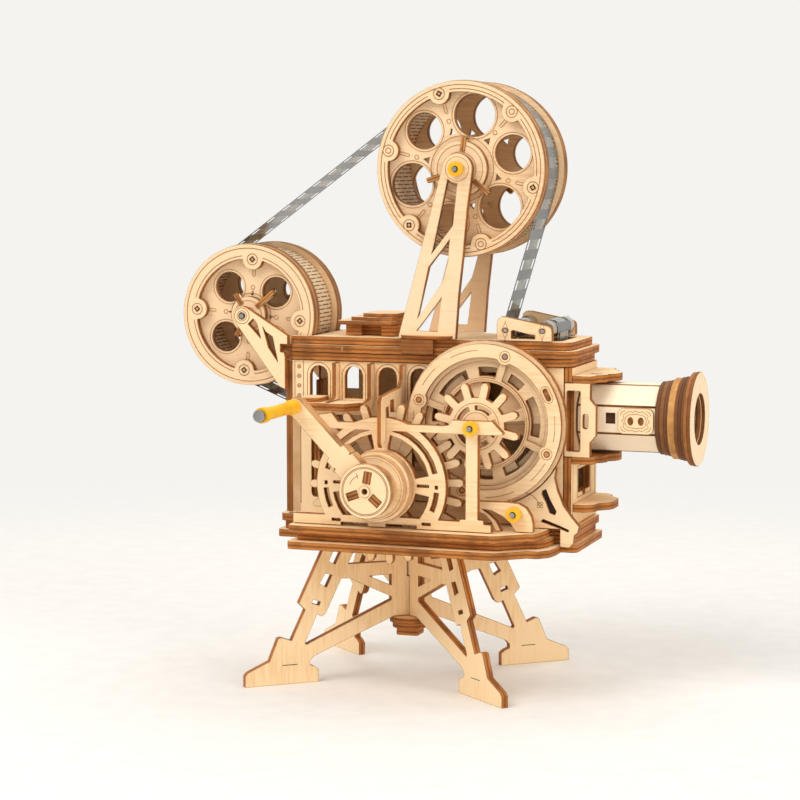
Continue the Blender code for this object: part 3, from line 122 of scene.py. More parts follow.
def new_material(name: str) -> tuple[bpy.types.Material, bpy.types.NodeTree, bpy.types.Node]:
    """Start a material.

    Args:
        name: The finish's name.

    Returns:
        The material, its tree and its Principled shader.
    """
    material = bpy.data.materials.new(name)
    material.use_nodes = True
    tree = material.node_tree
    return material, tree, tree.nodes["Principled BSDF"]


def ramp(tree: bpy.types.NodeTree, factor: bpy.types.NodeSocket, stops: list[tuple[float, str]],
         smooth: bool = True) -> bpy.types.Node:
    """Add a colour ramp.

    Args:
        tree: The material's node tree.
        factor: The socket that drives it.
        stops: Place and hex colour of each stop.
        smooth: Blend between stops, or step.

    Returns:
        The ramp node.
    """
    node = add_node(tree, "ShaderNodeValToRGB", {"Fac": factor})
    node.color_ramp.interpolation = "LINEAR" if smooth else "CONSTANT"
    elements = node.color_ramp.elements
    while len(elements) < len(stops):
        elements.new(0.5)
    for element, (place, code) in zip(elements, stops):
        element.position = place
        element.color = linear(code)
    return node


@dataclass(frozen=True)
class Plywood:
    """Laser-cut basswood plywood: pale matt faces, scorched edges that show the plies.

    The cut leaves a thin brown line where a face meets an edge, drawn a little wider than
    the real 0.2 mm so that it shows. across is the unit vector through the sheet, middle
    the place of its middle along that, and period the thickness of one stack of plies.
    """

    name: str
    across: tuple[float, float, float]
    middle: float
    period: float = PLY
    face: str = "F8D8AA"
    shade: str = "F0CA98"
    skin: str = "BE783A"
    core: str = "8C521C"
    seam: str = "3F1E0A"
    burn: str = "8A5226"
    char: str = "6A3B15"
    line: float = 0.42

    def edge(self, tree: bpy.types.NodeTree, place: bpy.types.Node) -> bpy.types.NodeSocket:
        """Add the scorched edge with its plies.

        Args:
            tree: The material's node tree.
            place: Its texture coordinate node.

        Returns:
            The edge's colour.
        """
        depth = add_node(tree, "ShaderNodeVectorMath", {0: place.outputs["Object"]}, {1: self.across},
                         operation="DOT_PRODUCT")
        wobble = add_node(tree, "ShaderNodeTexNoise", {"Vector": place.outputs["Object"]},
                          {"Scale": 260.0, "Detail": 2.0})
        turned = add_node(tree, "ShaderNodeMath", {0: wobble.outputs["Fac"]}, {1: 0.0006, 2: -0.0003},
                          operation="MULTIPLY_ADD")
        warped = add_node(tree, "ShaderNodeMath", {0: depth.outputs["Value"], 1: turned.outputs[0]},
                          operation="ADD")
        scaled = add_node(tree, "ShaderNodeMath", {0: warped.outputs[0]},
                          {1: 1000 / self.period, 2: 0.5 - self.middle / self.period},
                          operation="MULTIPLY_ADD")
        cell = add_node(tree, "ShaderNodeMath", {0: scaled.outputs[0]}, operation="FRACT")
        plies = ramp(tree, cell.outputs[0], [(0.0, self.seam), (0.07, self.skin), (0.32, self.skin),
                                             (0.42, self.core), (0.58, self.core), (0.68, self.skin),
                                             (0.93, self.skin), (1.0, self.seam)])
        scorch = add_node(tree, "ShaderNodeTexNoise", {"Vector": place.outputs["Object"]},
                          {"Scale": 90.0, "Detail": 3.0})
        much = add_node(tree, "ShaderNodeMapRange", {"Value": scorch.outputs["Fac"]},
                        {"From Min": 0.42, "From Max": 0.68, "To Min": 0.0, "To Max": 0.7})
        scorched = add_node(tree, "ShaderNodeMix", {0: much.outputs[0], 6: plies.outputs["Color"]},
                            {7: linear(self.char)}, data_type="RGBA")
        return scorched.outputs[2]

    def grain(self, tree: bpy.types.NodeTree, place: bpy.types.Node) -> bpy.types.NodeSocket:
        """Add the pale face: long fine streaks and faint broad clouds.

        Args:
            tree: The material's node tree.
            place: Its texture coordinate node.

        Returns:
            The face's colour.
        """
        streak = [50.0, 50.0, 50.0]
        streak[0 if abs(self.across[0]) < 0.5 else 2] = 5.0
        stretch = add_node(tree, "ShaderNodeMapping", {"Vector": place.outputs["Object"]},
                           {"Scale": tuple(streak)})
        fine = add_node(tree, "ShaderNodeTexNoise", {"Vector": stretch.outputs[0]},
                        {"Scale": 16.0, "Detail": 6.0, "Roughness": 0.6})
        broad = add_node(tree, "ShaderNodeTexNoise", {"Vector": place.outputs["Object"]},
                         {"Scale": 22.0, "Detail": 2.0})
        both = add_node(tree, "ShaderNodeMath", {0: fine.outputs["Fac"], 1: broad.outputs["Fac"]},
                        operation="ADD")
        return ramp(tree, both.outputs[0], [(0.82, self.shade), (1.0, self.face)]).outputs["Color"]

    def paint(self, tree: bpy.types.NodeTree, place: bpy.types.Node) -> bpy.types.NodeSocket:
        """Add the whole finish.

        Args:
            tree: The material's node tree.
            place: Its texture coordinate node.

        Returns:
            The finish's colour.
        """
        rounded = add_node(tree, "ShaderNodeBevel", values={"Radius": self.line * MM}, samples=6)
        flat = add_node(tree, "ShaderNodeNewGeometry")
        bend = add_node(tree, "ShaderNodeVectorMath", {0: rounded.outputs[0], 1: flat.outputs["Normal"]},
                        operation="DOT_PRODUCT")
        near = add_node(tree, "ShaderNodeMapRange", {"Value": bend.outputs["Value"]},
                        {"From Min": 0.998, "From Max": 0.93, "To Min": 0.0, "To Max": 1.0})
        lined = add_node(tree, "ShaderNodeMix", {0: near.outputs[0], 6: self.grain(tree, place)},
                         {7: linear(self.burn)}, data_type="RGBA")
        facing = add_node(tree, "ShaderNodeVectorMath", {0: place.outputs["Normal"]}, {1: self.across},
                          operation="DOT_PRODUCT")
        size = add_node(tree, "ShaderNodeMath", {0: facing.outputs["Value"]}, operation="ABSOLUTE")
        is_face = add_node(tree, "ShaderNodeMath", {0: size.outputs[0]}, {1: FACING},
                           operation="GREATER_THAN")
        colour = add_node(tree, "ShaderNodeMix", {0: is_face.outputs[0], 6: self.edge(tree, place),
                                                  7: lined.outputs[2]}, data_type="RGBA")
        return colour.outputs[2]

    def make(self) -> bpy.types.Material:
        """Build the material.

        Returns:
            The material.
        """
        material, tree, shader = new_material(self.name)
        place = add_node(tree, "ShaderNodeTexCoord")
        tree.links.new(self.paint(tree, place), shader.inputs["Base Color"])
        finish_wood(tree, place, shader)
        return material


def finish_wood(tree: bpy.types.NodeTree, place: bpy.types.Node, shader: bpy.types.Node) -> None:
    """Give bare wood its dull uneven sheen and its open pores.

    Args:
        tree: The material's node tree.
        place: Its texture coordinate node.
        shader: Its Principled shader.
    """
    pores = add_node(tree, "ShaderNodeTexNoise", {"Vector": place.outputs["Object"]},
                     {"Scale": 900.0, "Detail": 4.0, "Roughness": 0.7})
    bump = add_node(tree, "ShaderNodeBump", {"Height": pores.outputs["Fac"]},
                    {"Strength": 0.35, "Distance": 0.00006})
    sheen = add_node(tree, "ShaderNodeMapRange", {"Value": pores.outputs["Fac"]},
                     {"To Min": 0.52, "To Max": 0.74})
    tree.links.new(bump.outputs[0], shader.inputs["Normal"])
    tree.links.new(sheen.outputs[0], shader.inputs["Roughness"])
    shader.inputs["Specular IOR Level"].default_value = 0.25


@dataclass(frozen=True)
class Jointed:
    """Plates that stand across each other in one solid, told apart by their place.

    The outside plywood shows past a reach from the centre along the axis, in millimetres.
    """

    name: str
    inside: Plywood
    outside: Plywood
    axis: tuple[float, float, float]
    centre: float
    reach: float

    def make(self) -> bpy.types.Material:
        """Build the material.

        Returns:
            The material.
        """
        material, tree, shader = new_material(self.name)
        place = add_node(tree, "ShaderNodeTexCoord")
        along = add_node(tree, "ShaderNodeVectorMath", {0: place.outputs["Object"]}, {1: self.axis},
                         operation="DOT_PRODUCT")
        off = add_node(tree, "ShaderNodeMath", {0: along.outputs["Value"]}, {1: self.centre * MM},
                       operation="SUBTRACT")
        size = add_node(tree, "ShaderNodeMath", {0: off.outputs[0]}, operation="ABSOLUTE")
        past = add_node(tree, "ShaderNodeMath", {0: size.outputs[0]}, {1: self.reach * MM},
                        operation="GREATER_THAN")
        colour = add_node(tree, "ShaderNodeMix", {0: past.outputs[0], 6: self.inside.paint(tree, place),
                                                  7: self.outside.paint(tree, place)}, data_type="RGBA")
        tree.links.new(colour.outputs[2], shader.inputs["Base Color"])
        finish_wood(tree, place, shader)
        return material


@dataclass(frozen=True)
class Kerfed:
    """A plywood wall bent round a drum, cut with staggered rows of kerfs so that it bends.

    column is the pitch of the kerfs along the axis in millimetres; breadth and length are
    the shares of a row and of a pitch that a kerf takes up.
    """

    name: str
    centre: tuple[float, float]
    rows: int
    column: float = 8.3
    breadth: float = 0.3
    length: float = 0.84
    wood: str = "F0D5AE"
    # The kerf colour is partly the scorched cut and partly painted shade inside each slit.
    kerf: str = "7A5533"

    def make(self) -> bpy.types.Material:
        """Build the material.

        Returns:
            The material.
        """
        material, tree, shader = new_material(self.name)
        place = add_node(tree, "ShaderNodeTexCoord")
        apart = add_node(tree, "ShaderNodeSeparateXYZ", {0: place.outputs["Object"]})
        dx = add_node(tree, "ShaderNodeMath", {0: apart.outputs[0]}, {1: self.centre[0] * MM},
                      operation="SUBTRACT")
        dz = add_node(tree, "ShaderNodeMath", {0: apart.outputs[2]}, {1: self.centre[1] * MM},
                      operation="SUBTRACT")
        angle = add_node(tree, "ShaderNodeMath", {0: dz.outputs[0], 1: dx.outputs[0]}, operation="ARCTAN2")
        turn = add_node(tree, "ShaderNodeMath", {0: angle.outputs[0]}, {1: self.rows / (2 * math.pi)},
                        operation="MULTIPLY")
        in_row = add_node(tree, "ShaderNodeMath", {0: turn.outputs[0]}, operation="FRACT")
        row = add_node(tree, "ShaderNodeMath", {0: turn.outputs[0]}, operation="FLOOR")
        shift = add_node(tree, "ShaderNodeMath", {0: row.outputs[0]}, {1: 0.5}, operation="MULTIPLY")
        steps = add_node(tree, "ShaderNodeMath", {0: apart.outputs[1]}, {1: 1000 / self.column},
                         operation="MULTIPLY")
        placed = add_node(tree, "ShaderNodeMath", {0: steps.outputs[0], 1: shift.outputs[0]},
                          operation="ADD")
        in_dash = add_node(tree, "ShaderNodeMath", {0: placed.outputs[0]}, operation="FRACT")
        thin = add_node(tree, "ShaderNodeMath", {0: in_row.outputs[0]}, {1: self.breadth},
                        operation="LESS_THAN")
        long = add_node(tree, "ShaderNodeMath", {0: in_dash.outputs[0]}, {1: self.length},
                        operation="LESS_THAN")
        kerfs = add_node(tree, "ShaderNodeMath", {0: thin.outputs[0], 1: long.outputs[0]},
                         operation="MULTIPLY")
        colour = add_node(tree, "ShaderNodeMix", {0: kerfs.outputs[0]},
                          {6: linear(self.wood), 7: linear(self.kerf)}, data_type="RGBA")
        tree.links.new(colour.outputs[2], shader.inputs["Base Color"])
        finish_wood(tree, place, shader)
        return material


@dataclass(frozen=True)
class RingStack:
    """Rings of different stain glued side by side, with pale flat faces.

    start and length place the stack along X in millimetres; each tone begins at its share.
    """

    name: str
    start: float
    length: float
    tones: tuple[tuple[float, str], ...]
    face: str = "F6DCB6"
    mottling: str = "5A3216"

    def make(self) -> bpy.types.Material:
        """Build the material.

        Returns:
            The material.
        """
        material, tree, shader = new_material(self.name)
        place = add_node(tree, "ShaderNodeTexCoord")
        apart = add_node(tree, "ShaderNodeSeparateXYZ", {0: place.outputs["Object"]})
        part = add_node(tree, "ShaderNodeMath", {0: apart.outputs[0]},
                        {1: 1000 / self.length, 2: -self.start / self.length}, operation="MULTIPLY_ADD")
        rings = ramp(tree, part.outputs[0], list(self.tones), False)
        mottle = add_node(tree, "ShaderNodeTexNoise", {"Vector": place.outputs["Object"]},
                          {"Scale": 260.0, "Detail": 4.0})
        shade = add_node(tree, "ShaderNodeMapRange", {"Value": mottle.outputs["Fac"]},
                         {"From Min": 0.35, "From Max": 0.7, "To Min": 0.0, "To Max": 0.45})
        stained = add_node(tree, "ShaderNodeMix", {0: shade.outputs[0], 6: rings.outputs["Color"]},
                           {7: linear(self.mottling)}, data_type="RGBA")
        facing = add_node(tree, "ShaderNodeSeparateXYZ", {0: place.outputs["Normal"]})
        is_face = add_node(tree, "ShaderNodeMath", {0: facing.outputs[0]}, {1: FACING},
                           operation="GREATER_THAN")
        colour = add_node(tree, "ShaderNodeMix", {0: is_face.outputs[0], 6: stained.outputs[2]},
                          {7: linear(self.face)}, data_type="RGBA")
        tree.links.new(colour.outputs[2], shader.inputs["Base Color"])
        finish_wood(tree, place, shader)
        return material


@dataclass(frozen=True)
class Plain:
    """One material without plies: rod steel, silicone, scorched engraving, glass.

    Its colour drifts a little towards a second tone, its sheen varies, and fine handling marks
    of the given depth in millimetres break its highlights.
    """

    name: str
    colour: str
    second: str
    roughness: float
    metallic: float = 0.0
    transmission: float = 0.0
    scale: float = 220.0
    marks: float = 0.02

    def make(self) -> bpy.types.Material:
        """Build the material.

        Returns:
            The material.
        """
        material, tree, shader = new_material(self.name)
        place = add_node(tree, "ShaderNodeTexCoord")
        drift = add_node(tree, "ShaderNodeTexNoise", {"Vector": place.outputs["Object"]},
                         {"Scale": self.scale, "Detail": 4.0, "Roughness": 0.6})
        much = add_node(tree, "ShaderNodeMapRange", {"Value": drift.outputs["Fac"]},
                        {"From Min": 0.35, "From Max": 0.65})
        colour = add_node(tree, "ShaderNodeMix", {0: much.outputs[0]},
                          {6: linear(self.colour), 7: linear(self.second)}, data_type="RGBA")
        sheen = add_node(tree, "ShaderNodeMapRange", {"Value": drift.outputs["Fac"]},
                         {"From Min": 0.3, "From Max": 0.7, "To Min": self.roughness * 0.85,
                          "To Max": min(1.0, self.roughness * 1.2)})
        fine = add_node(tree, "ShaderNodeTexNoise", {"Vector": place.outputs["Object"]},
                        {"Scale": self.scale * 6, "Detail": 3.0})
        bump = add_node(tree, "ShaderNodeBump", {"Height": fine.outputs["Fac"]},
                        {"Strength": 0.3, "Distance": self.marks * MM})
        tree.links.new(colour.outputs[2], shader.inputs["Base Color"])
        tree.links.new(sheen.outputs[0], shader.inputs["Roughness"])
        tree.links.new(bump.outputs[0], shader.inputs["Normal"])
        shader.inputs["Metallic"].default_value = self.metallic
        shader.inputs["Transmission Weight"].default_value = self.transmission
        return material


# Drawn rod: bright grey metal with fine draw marks.
STEEL = Plain("drawn steel rod", "A9A9A8", "8C8C8D", 0.28, 1.0)
# Nickel plate on a turned roller: a sharp, slightly warm mirror.
CHROME = Plain("nickel-plated roller", "C9C2B4", "9A8F7C", 0.18, 1.0, scale=90.0)
# Moulded silicone: strong even yellow with a broad soft highlight.
SILICONE = Plain("moulded yellow silicone", "F9C01C", "EFAE0C", 0.42, scale=140.0, marks=0.03)
# A laser line burnt into the face: brown and dull.
SCORCH = Plain("laser engraving in basswood", "A06A38", "8A5628", 0.8)
# The same laser at low power: only a shade darker than the wood.
FAINT = Plain("light laser line in basswood", "B98852", "A97540", 0.8)
# Soot in a deep cut: almost black, no gloss. Also used as painted shade deep in the gusset's slots.
CHAR_AND_SHADE = Plain("charred slot and painted shade", "3A1D0B", "24110A", 0.85)
# Polished acrylic: clear, with a crisp highlight.
GLASS = Plain("polished acrylic lens", "F4F8F8", "EEF4F5", 0.03, transmission=1.0, marks=0.0)
# Polyester film stock: dark grey and half clear, with a wet-looking sheen.
FILM = Plain("smoky polyester film", "6C6D68", "55565A", 0.22, transmission=0.2, scale=60.0, marks=0.01)
# A picture window in that stock: paler and clearer.
FRAME = Plain("half clear film frame", "B9B8AF", "8F908A", 0.2, transmission=0.5, scale=110.0, marks=0.01)
# The end of a tab, burnt unevenly by the cut.
TAB = Plain("scorched tab end", "A86B34", "6E3D17", 0.7, scale=500.0)
# The end of a peg, fresh from the cut: lively light brown.
BRIGHT = Plain("fresh cut wooden peg", "D9A264", "BE8446", 0.6, scale=400.0)
# Painted shade: wood a tone darker than the face, standing for the shade in a shallow recess.
RECESS_SHADE = Plain("painted recess shade", "D8B184", "C79D6D", 0.75, scale=120.0)
# A notch that the laser left unburnt, as pale as the face.
TICK = Plain("unburnt tick", "E8C79A", "D8B07C", 0.7)
# The inside of the lens tube: dark plywood as painted shade.
SHADED_LINING = Plain("dark inner plywood", "5A3418", "3E220F", 0.8)

Finish = Plywood | Jointed | Kerfed | RingStack | Plain
MATERIALS: dict[Finish, bpy.types.Material] = {}


def finish_of(kind: Finish) -> bpy.types.Material:
    """Make a finish's material, or find it where it was made before.

    Args:
        kind: The finish.

    Returns:
        Its material.
    """
    if kind not in MATERIALS:
        MATERIALS[kind] = kind.make()
    return MATERIALS[kind]


def dress(obj: bpy.types.Object, kind: Finish) -> None:
    """Give an object one finish all over.

    Args:
        obj: The object.
        kind: The finish.
    """
    obj.data.materials.clear()
    obj.data.materials.append(finish_of(kind))
    for polygon in obj.data.polygons:
        polygon.material_index = 0


def dress_sheet(node: str, across: tuple[float, float, float], middle: float, period: float = PLY,
                **tones: str) -> None:
    """Dress a CAD node as plywood of its own.

    Args:
        node: The node's name.
        across: Unit vector through the sheet.
        middle: Place of the sheet's middle along it, in millimetres.
        period: Thickness of one stack of plies.
        tones: Colours that differ from the usual ones.
    """
    dress(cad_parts[node], Plywood(f"basswood plywood {node}", across, middle, period, **tones))


def deselect() -> None:
    """Deselect everything."""
    bpy.ops.object.select_all(action="DESELECT")


def select_only(obj: bpy.types.Object) -> None:
    """Select one object and nothing else.

    Args:
        obj: The object, which becomes the active one.
    """
    deselect()
    obj.select_set(True)
    bpy.context.view_layer.objects.active = obj


def settle(obj: bpy.types.Object) -> None:
    """Bring a finished piece's place into its mesh."""
    select_only(obj)
    bpy.ops.object.transform_apply(location=True, rotation=True, scale=True)


def weld() -> None:
    """Merge the doubled points of the mesh in edit mode and turn its faces outwards."""
    bpy.ops.mesh.select_all(action="SELECT")
    bpy.ops.mesh.remove_doubles(threshold=WELD)
    bpy.ops.mesh.normals_make_consistent(inside=False)


def add_object(name: str, data: bpy.types.ID) -> bpy.types.Object:
    """Put a new object into the scene.

    Args:
        name: Its name.
        data: The mesh, curve, lamp or camera that it shows.

    Returns:
        The object.
    """
    obj = bpy.data.objects.new(name, data)
    bpy.context.scene.collection.objects.link(obj)
    return obj


def circle(radius: float, centre: Point = (0.0, 0.0), count: int = 40, start: float = 0.0) -> Loop:
    """Place points round a circle.

    Args:
        radius: Its radius.
        centre: Its centre.
        count: How many points.
        start: Angle of the first point in degrees.

    Returns:
        The points in order.
    """
    turn = 2 * math.pi / count
    angles = [math.radians(start) + turn * i for i in range(count)]
    return [(centre[0] + radius * math.cos(a), centre[1] + radius * math.sin(a)) for a in angles]


def arc(radius: float, begin: float, end: float, count: int = 12, centre: Point = (0.0, 0.0)) -> Loop:
    """Place points along an arc.

    Args:
        radius: Its radius.
        begin: Angle of its first point in degrees.
        end: Angle of its last point.
        count: How many steps it takes.
        centre: Its centre.

    Returns:
        The points in order.
    """
    angles = [math.radians(begin + (end - begin) * i / count) for i in range(count + 1)]
    return [(centre[0] + radius * math.cos(a), centre[1] + radius * math.sin(a)) for a in angles]


def polar(centre: Point, radius: float, angle: float) -> Point:
    """A point at a radius and an angle in degrees."""
    a = math.radians(angle)
    return centre[0] + radius * math.cos(a), centre[1] + radius * math.sin(a)


def spun(points: Loop, angle: float, centre: Point = (0.0, 0.0)) -> Loop:
    """Turn points about the origin and carry them to a centre.

    Args:
        points: The points.
        angle: The turn in degrees.
        centre: Where the origin goes.

    Returns:
        The moved points.
    """
    a = math.radians(angle)
    return [(centre[0] + x * math.cos(a) - y * math.sin(a), centre[1] + x * math.sin(a) + y * math.cos(a))
            for x, y in points]


def pill(centre: Point, length: float, width: float, angle: float, count: int = 5) -> Loop:
    """Outline a slot with round ends.

    Args:
        centre: Its middle.
        length: Its length over all.
        width: Its width.
        angle: Direction of its length in degrees.
        count: Steps round each end.

    Returns:
        The outline.
    """
    half = (length - width) / 2
    ends = arc(width / 2, -90, 90, count, (half, 0.0)) + arc(width / 2, 90, 270, count, (-half, 0.0))
    return spun(ends, angle, centre)


def bar_outline(reach: float, length: float, width: float, angle: float) -> Loop:
    """Outline a square-ended bar that points away from the origin.

    Args:
        reach: Distance of its middle from the origin.
        length: Its length.
        width: Its width.
        angle: Its direction in degrees.

    Returns:
        The outline.
    """
    near, far, side = reach - length / 2, reach + length / 2, width / 2
    return spun([(near, -side), (far, -side), (far, side), (near, side)], angle)


def oblong(left: float, right: float, low: float, high: float) -> Loop:
    """Outline an upright rectangle."""
    return [(left, low), (right, low), (right, high), (left, high)]


def lobed(radius: float, lobe: float, at: float, bosses: list[float]) -> Loop:
    """Inner edge of a rim that swells inwards round its bosses.

    Args:
        radius: The edge between bosses.
        lobe: Radius of the swelling.
        at: Distance of the bosses from the axis.
        bosses: Their angles in degrees, rising.

    Returns:
        The edge as one loop.
    """
    half = math.degrees(math.acos((radius ** 2 + at ** 2 - lobe ** 2) / (2 * radius * at)))
    turn = math.degrees(math.acos((radius ** 2 - at ** 2 - lobe ** 2) / (2 * at * lobe)))
    points: Loop = []
    for boss, following in zip(bosses, [*bosses[1:], bosses[0] + 360]):
        points += arc(lobe, boss + 360 - turn, boss + turn, 18, polar((0, 0), at, boss))
        points += arc(radius, boss + half, following - half, 28)[1:-1]
    return points


def arch(x: float, half: float, foot: float, spring: float) -> Loop:
    """Open border of a round-headed window."""
    return [(x + half, foot), *arc(half, 0, 180, 16, (x, spring)), (x - half, foot)]


def add_curve(name: str, loops: list[Line], plane: Plane, at: Vector) -> bpy.types.Object:
    """Draw loops as one curve in a plane.

    Args:
        name: The piece's name.
        loops: Points in millimetres, with True where a loop closes.
        plane: The plane to draw in.
        at: World place of the drawing's origin, in millimetres.

    Returns:
        The curve object.
    """
    curve = bpy.data.curves.new(name, "CURVE")
    curve.dimensions = "3D"
    for points, closed in loops:
        spline = curve.splines.new("POLY")
        spline.points.add(len(points) - 1)
        for point, (u, v) in zip(spline.points, points):
            point.co = (u * MM, v * MM, 0.0, 1.0)
        spline.use_cyclic_u = closed
    obj = add_object(name, curve)
    obj.rotation_euler = plane.value
    obj.location = at * MM
    return obj


def to_mesh(obj: bpy.types.Object) -> bpy.types.Object:
    """Turn a curve into a welded mesh with its place applied.

    Args:
        obj: The curve object.

    Returns:
        The same object, now a mesh.
    """
    select_only(obj)
    bpy.ops.object.convert(target="MESH")
    bpy.ops.object.mode_set(mode="EDIT")
    weld()
    bpy.ops.object.mode_set(mode="OBJECT")
    settle(obj)
    return obj


def fill_sheet(obj: bpy.types.Object, thickness: float) -> bpy.types.Object:
    """Fill a drawn outline and give it a sheet's thickness.

    Args:
        obj: The curve object.
        thickness: The thickness in millimetres, half of it to each side.

    Returns:
        The same object, now a mesh.
    """
    obj.data.dimensions = "2D"
    obj.data.fill_mode = "BOTH"
    obj.data.extrude = thickness * MM / 2
    return to_mesh(obj)


def engrave(name: str, loops: list[Line], plane: Plane, at: Vector, body: str,
            width: float = 0.3, kind: Plain = SCORCH) -> bpy.types.Object:
    """Lay fine scorched lines on a face, half sunk in it.

    Args:
        name: The piece's name.
        loops: Points in millimetres, with True where a line closes.
        plane: The plane to draw in.
        at: World place of the drawing's origin, in millimetres.
        body: The body that carries the lines.
        width: Line width in millimetres.
        kind: The finish.

    Returns:
        The engraved lines as one mesh.
    """
    obj = add_curve(name, loops, plane, at)
    obj.data.bevel_depth = width * MM / 2
    obj.data.bevel_resolution = 0
    obj.data.use_fill_caps = True
    obj = to_mesh(obj)
    dress(obj, kind)
    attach(obj, body)
    LOG.info("%s: %d engraved lines", name, len(loops))
    return obj


def plate(name: str, outer: Loop, holes: list[Loop], plane: Plane, at: Vector, thickness: float, body: str,
          kind: Finish) -> bpy.types.Object:
    """Cut a flat piece from sheet.

    Args:
        name: The piece's name.
        outer: Its outline in millimetres.
        holes: Outlines of its holes.
        plane: The plane to draw in.
        at: World place of the drawing's origin, at mid thickness.
        thickness: Sheet thickness in millimetres.
        body: The body that carries it.
        kind: The finish.

    Returns:
        The plate's mesh object.
    """
    obj = fill_sheet(add_curve(name, [(loop, True) for loop in [outer, *holes]], plane, at), thickness)
    dress(obj, kind)
    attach(obj, body)
    LOG.info("%s: plate", name)
    return obj


def turned(name: str, profile: Loop, height: float, body: str, kind: Finish, steps: int) -> bpy.types.Object:
    """Turn a closed profile about the lens axis.

    Args:
        name: The piece's name.
        profile: Radius and X of each point, in millimetres.
        height: Height of the axis in millimetres.
        body: The body that carries it.
        kind: The finish.
        steps: Segments round the axis.

    Returns:
        The turned mesh object.
    """
    mesh = bpy.data.meshes.new(name)
    points = [(x * MM, 0.0, (height + radius) * MM) for radius, x in profile]
    edges = [(i, (i + 1) % len(points)) for i in range(len(points))]
    mesh.from_pydata(points, edges, [])
    obj = add_object(name, mesh)
    select_only(obj)
    bpy.ops.object.mode_set(mode="EDIT")
    bpy.ops.mesh.select_all(action="SELECT")
    bpy.ops.mesh.spin(steps=steps, angle=2 * math.pi, center=(0.0, 0.0, height * MM), axis=(1.0, 0.0, 0.0))
    weld()
    bpy.ops.object.mode_set(mode="OBJECT")
    bpy.ops.object.shade_smooth_by_angle(angle=SMOOTH)
    dress(obj, kind)
    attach(obj, body)
    LOG.info("%s: turned, %d faces", name, len(obj.data.polygons))
    return obj


def middle_of(node: str, axis: int) -> float:
    """Middle of a node's box along an axis, in millimetres."""
    low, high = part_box(node)
    return (low[axis] + high[axis]) / 2 / MM


def face_of(node: str, side: int) -> float:
    """Y of a node's front face, for side -1, or of its back face, in millimetres."""
    low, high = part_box(node)
    return (low[1] if side < 0 else high[1]) / MM


@dataclass
class SheetWork:
    """Every flat plywood node, by the direction across its thickness.

    The measures are the middles and ply stacks of plates that stand in one solid, in
    millimetres; step is one sheet and the gap beside it.
    """

    front: tuple[str, ...] = (
        "back_wall", "reel_arm_front", "reel_arm_back", "crank_arch", "lower_bracket", "corner_gusset",
        "roller_cheek_front", "roller_cheek_back", "crank_gear", "pinion_gear", "shutter_disc",
    )
    flat: tuple[str, ...] = (
        "base_lower", "base_middle", "base_upper", "deck_cornice", "deck_lower", "deck_upper", "front_shelf",
        "lens_shelf", "stand_nut",
    )
    side: tuple[str, ...] = ("left_wall", "right_wall", "film_gate")
    stand_angle: float = 40.5
    step: float = 3.3
    hook_period: float = 1.6
    wall_middle: float = -18.5
    wall_face: float = 20.05
    fin_middle: float = -24.8
    fin_period: float = 1.52
    bracket_side: float = 18.5
    bracket_side_period: float = 3.0833
    bracket_plate: float = 16.1
    bracket_plate_period: float = 2.9273
    bracket_inside: float = 14.65

    def dress(self) -> None:
        """Give each plate a plywood whose plies lie across its own thickness."""
        groups = ((self.front, Grain.ACROSS_Y, 1), (self.flat, Grain.ACROSS_Z, 2),
                  (self.side, Grain.ACROSS_X, 0))
        for nodes, grain, axis in groups:
            for node in nodes:
                dress_sheet(node, grain.value, round(middle_of(node, axis), 2))
        for node, sign in (("stand_leg_a", 1), ("stand_leg_b", -1)):
            a = math.radians(self.stand_angle * sign)
            dress_sheet(node, (-math.sin(a), math.cos(a), 0.0), 0.0)
        dress_sheet("hook_plate", Grain.ACROSS_X.value, round(middle_of("hook_plate", 0), 2),
                    self.hook_period)
        dress_sheet("ring_back", Grain.ACROSS_Y.value, middle_of("ring_front", 1) + self.step)
        dress_sheet("lamp_housing", Grain.ACROSS_Z.value, middle_of("deck_upper", 2) + self.step)
        dress_sheet("stand_disc", Grain.ACROSS_Z.value, 0.0)
        self.dress_jointed()
        LOG.info("plates dressed")

    def dress_jointed(self) -> None:
        """Dress the front wall with its fins, and the lens bracket with its plates."""
        wall = Plywood("wall plate", Grain.ACROSS_Y.value, self.wall_middle)
        fins = Plywood("fin plates", Grain.ACROSS_X.value, self.fin_middle, self.fin_period, skin="A96C38")
        dress(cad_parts["front_wall"],
              Jointed("basswood plywood front_wall", wall, fins, Grain.ACROSS_Y.value, 0.0, self.wall_face))
        height = middle_of("lens_tube", 2)
        sides = Plywood("bracket sides", Grain.ACROSS_Y.value, self.bracket_side, self.bracket_side_period)
        plates = Plywood("bracket plates", Grain.ACROSS_Z.value, height + self.bracket_plate,
                         self.bracket_plate_period)
        dress(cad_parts["lens_bracket"],
              Jointed("basswood plywood lens_bracket", sides, plates, Grain.ACROSS_Z.value, height,
                      self.bracket_inside))


@dataclass(frozen=True)
class ReelPlan:
    """Where a reel's bosses, windows and tabs lie, in millimetres and degrees."""

    first: float
    bosses: int
    rim: float
    boss_at: float
    lobe: float
    skip: float
    window_at: float
    windows: tuple[float, float]
    pill_at: float
    dot_at: float
    notch_at: float
    disc: float
    knob: float
    tabs: tuple[tuple[float, float, float], ...]


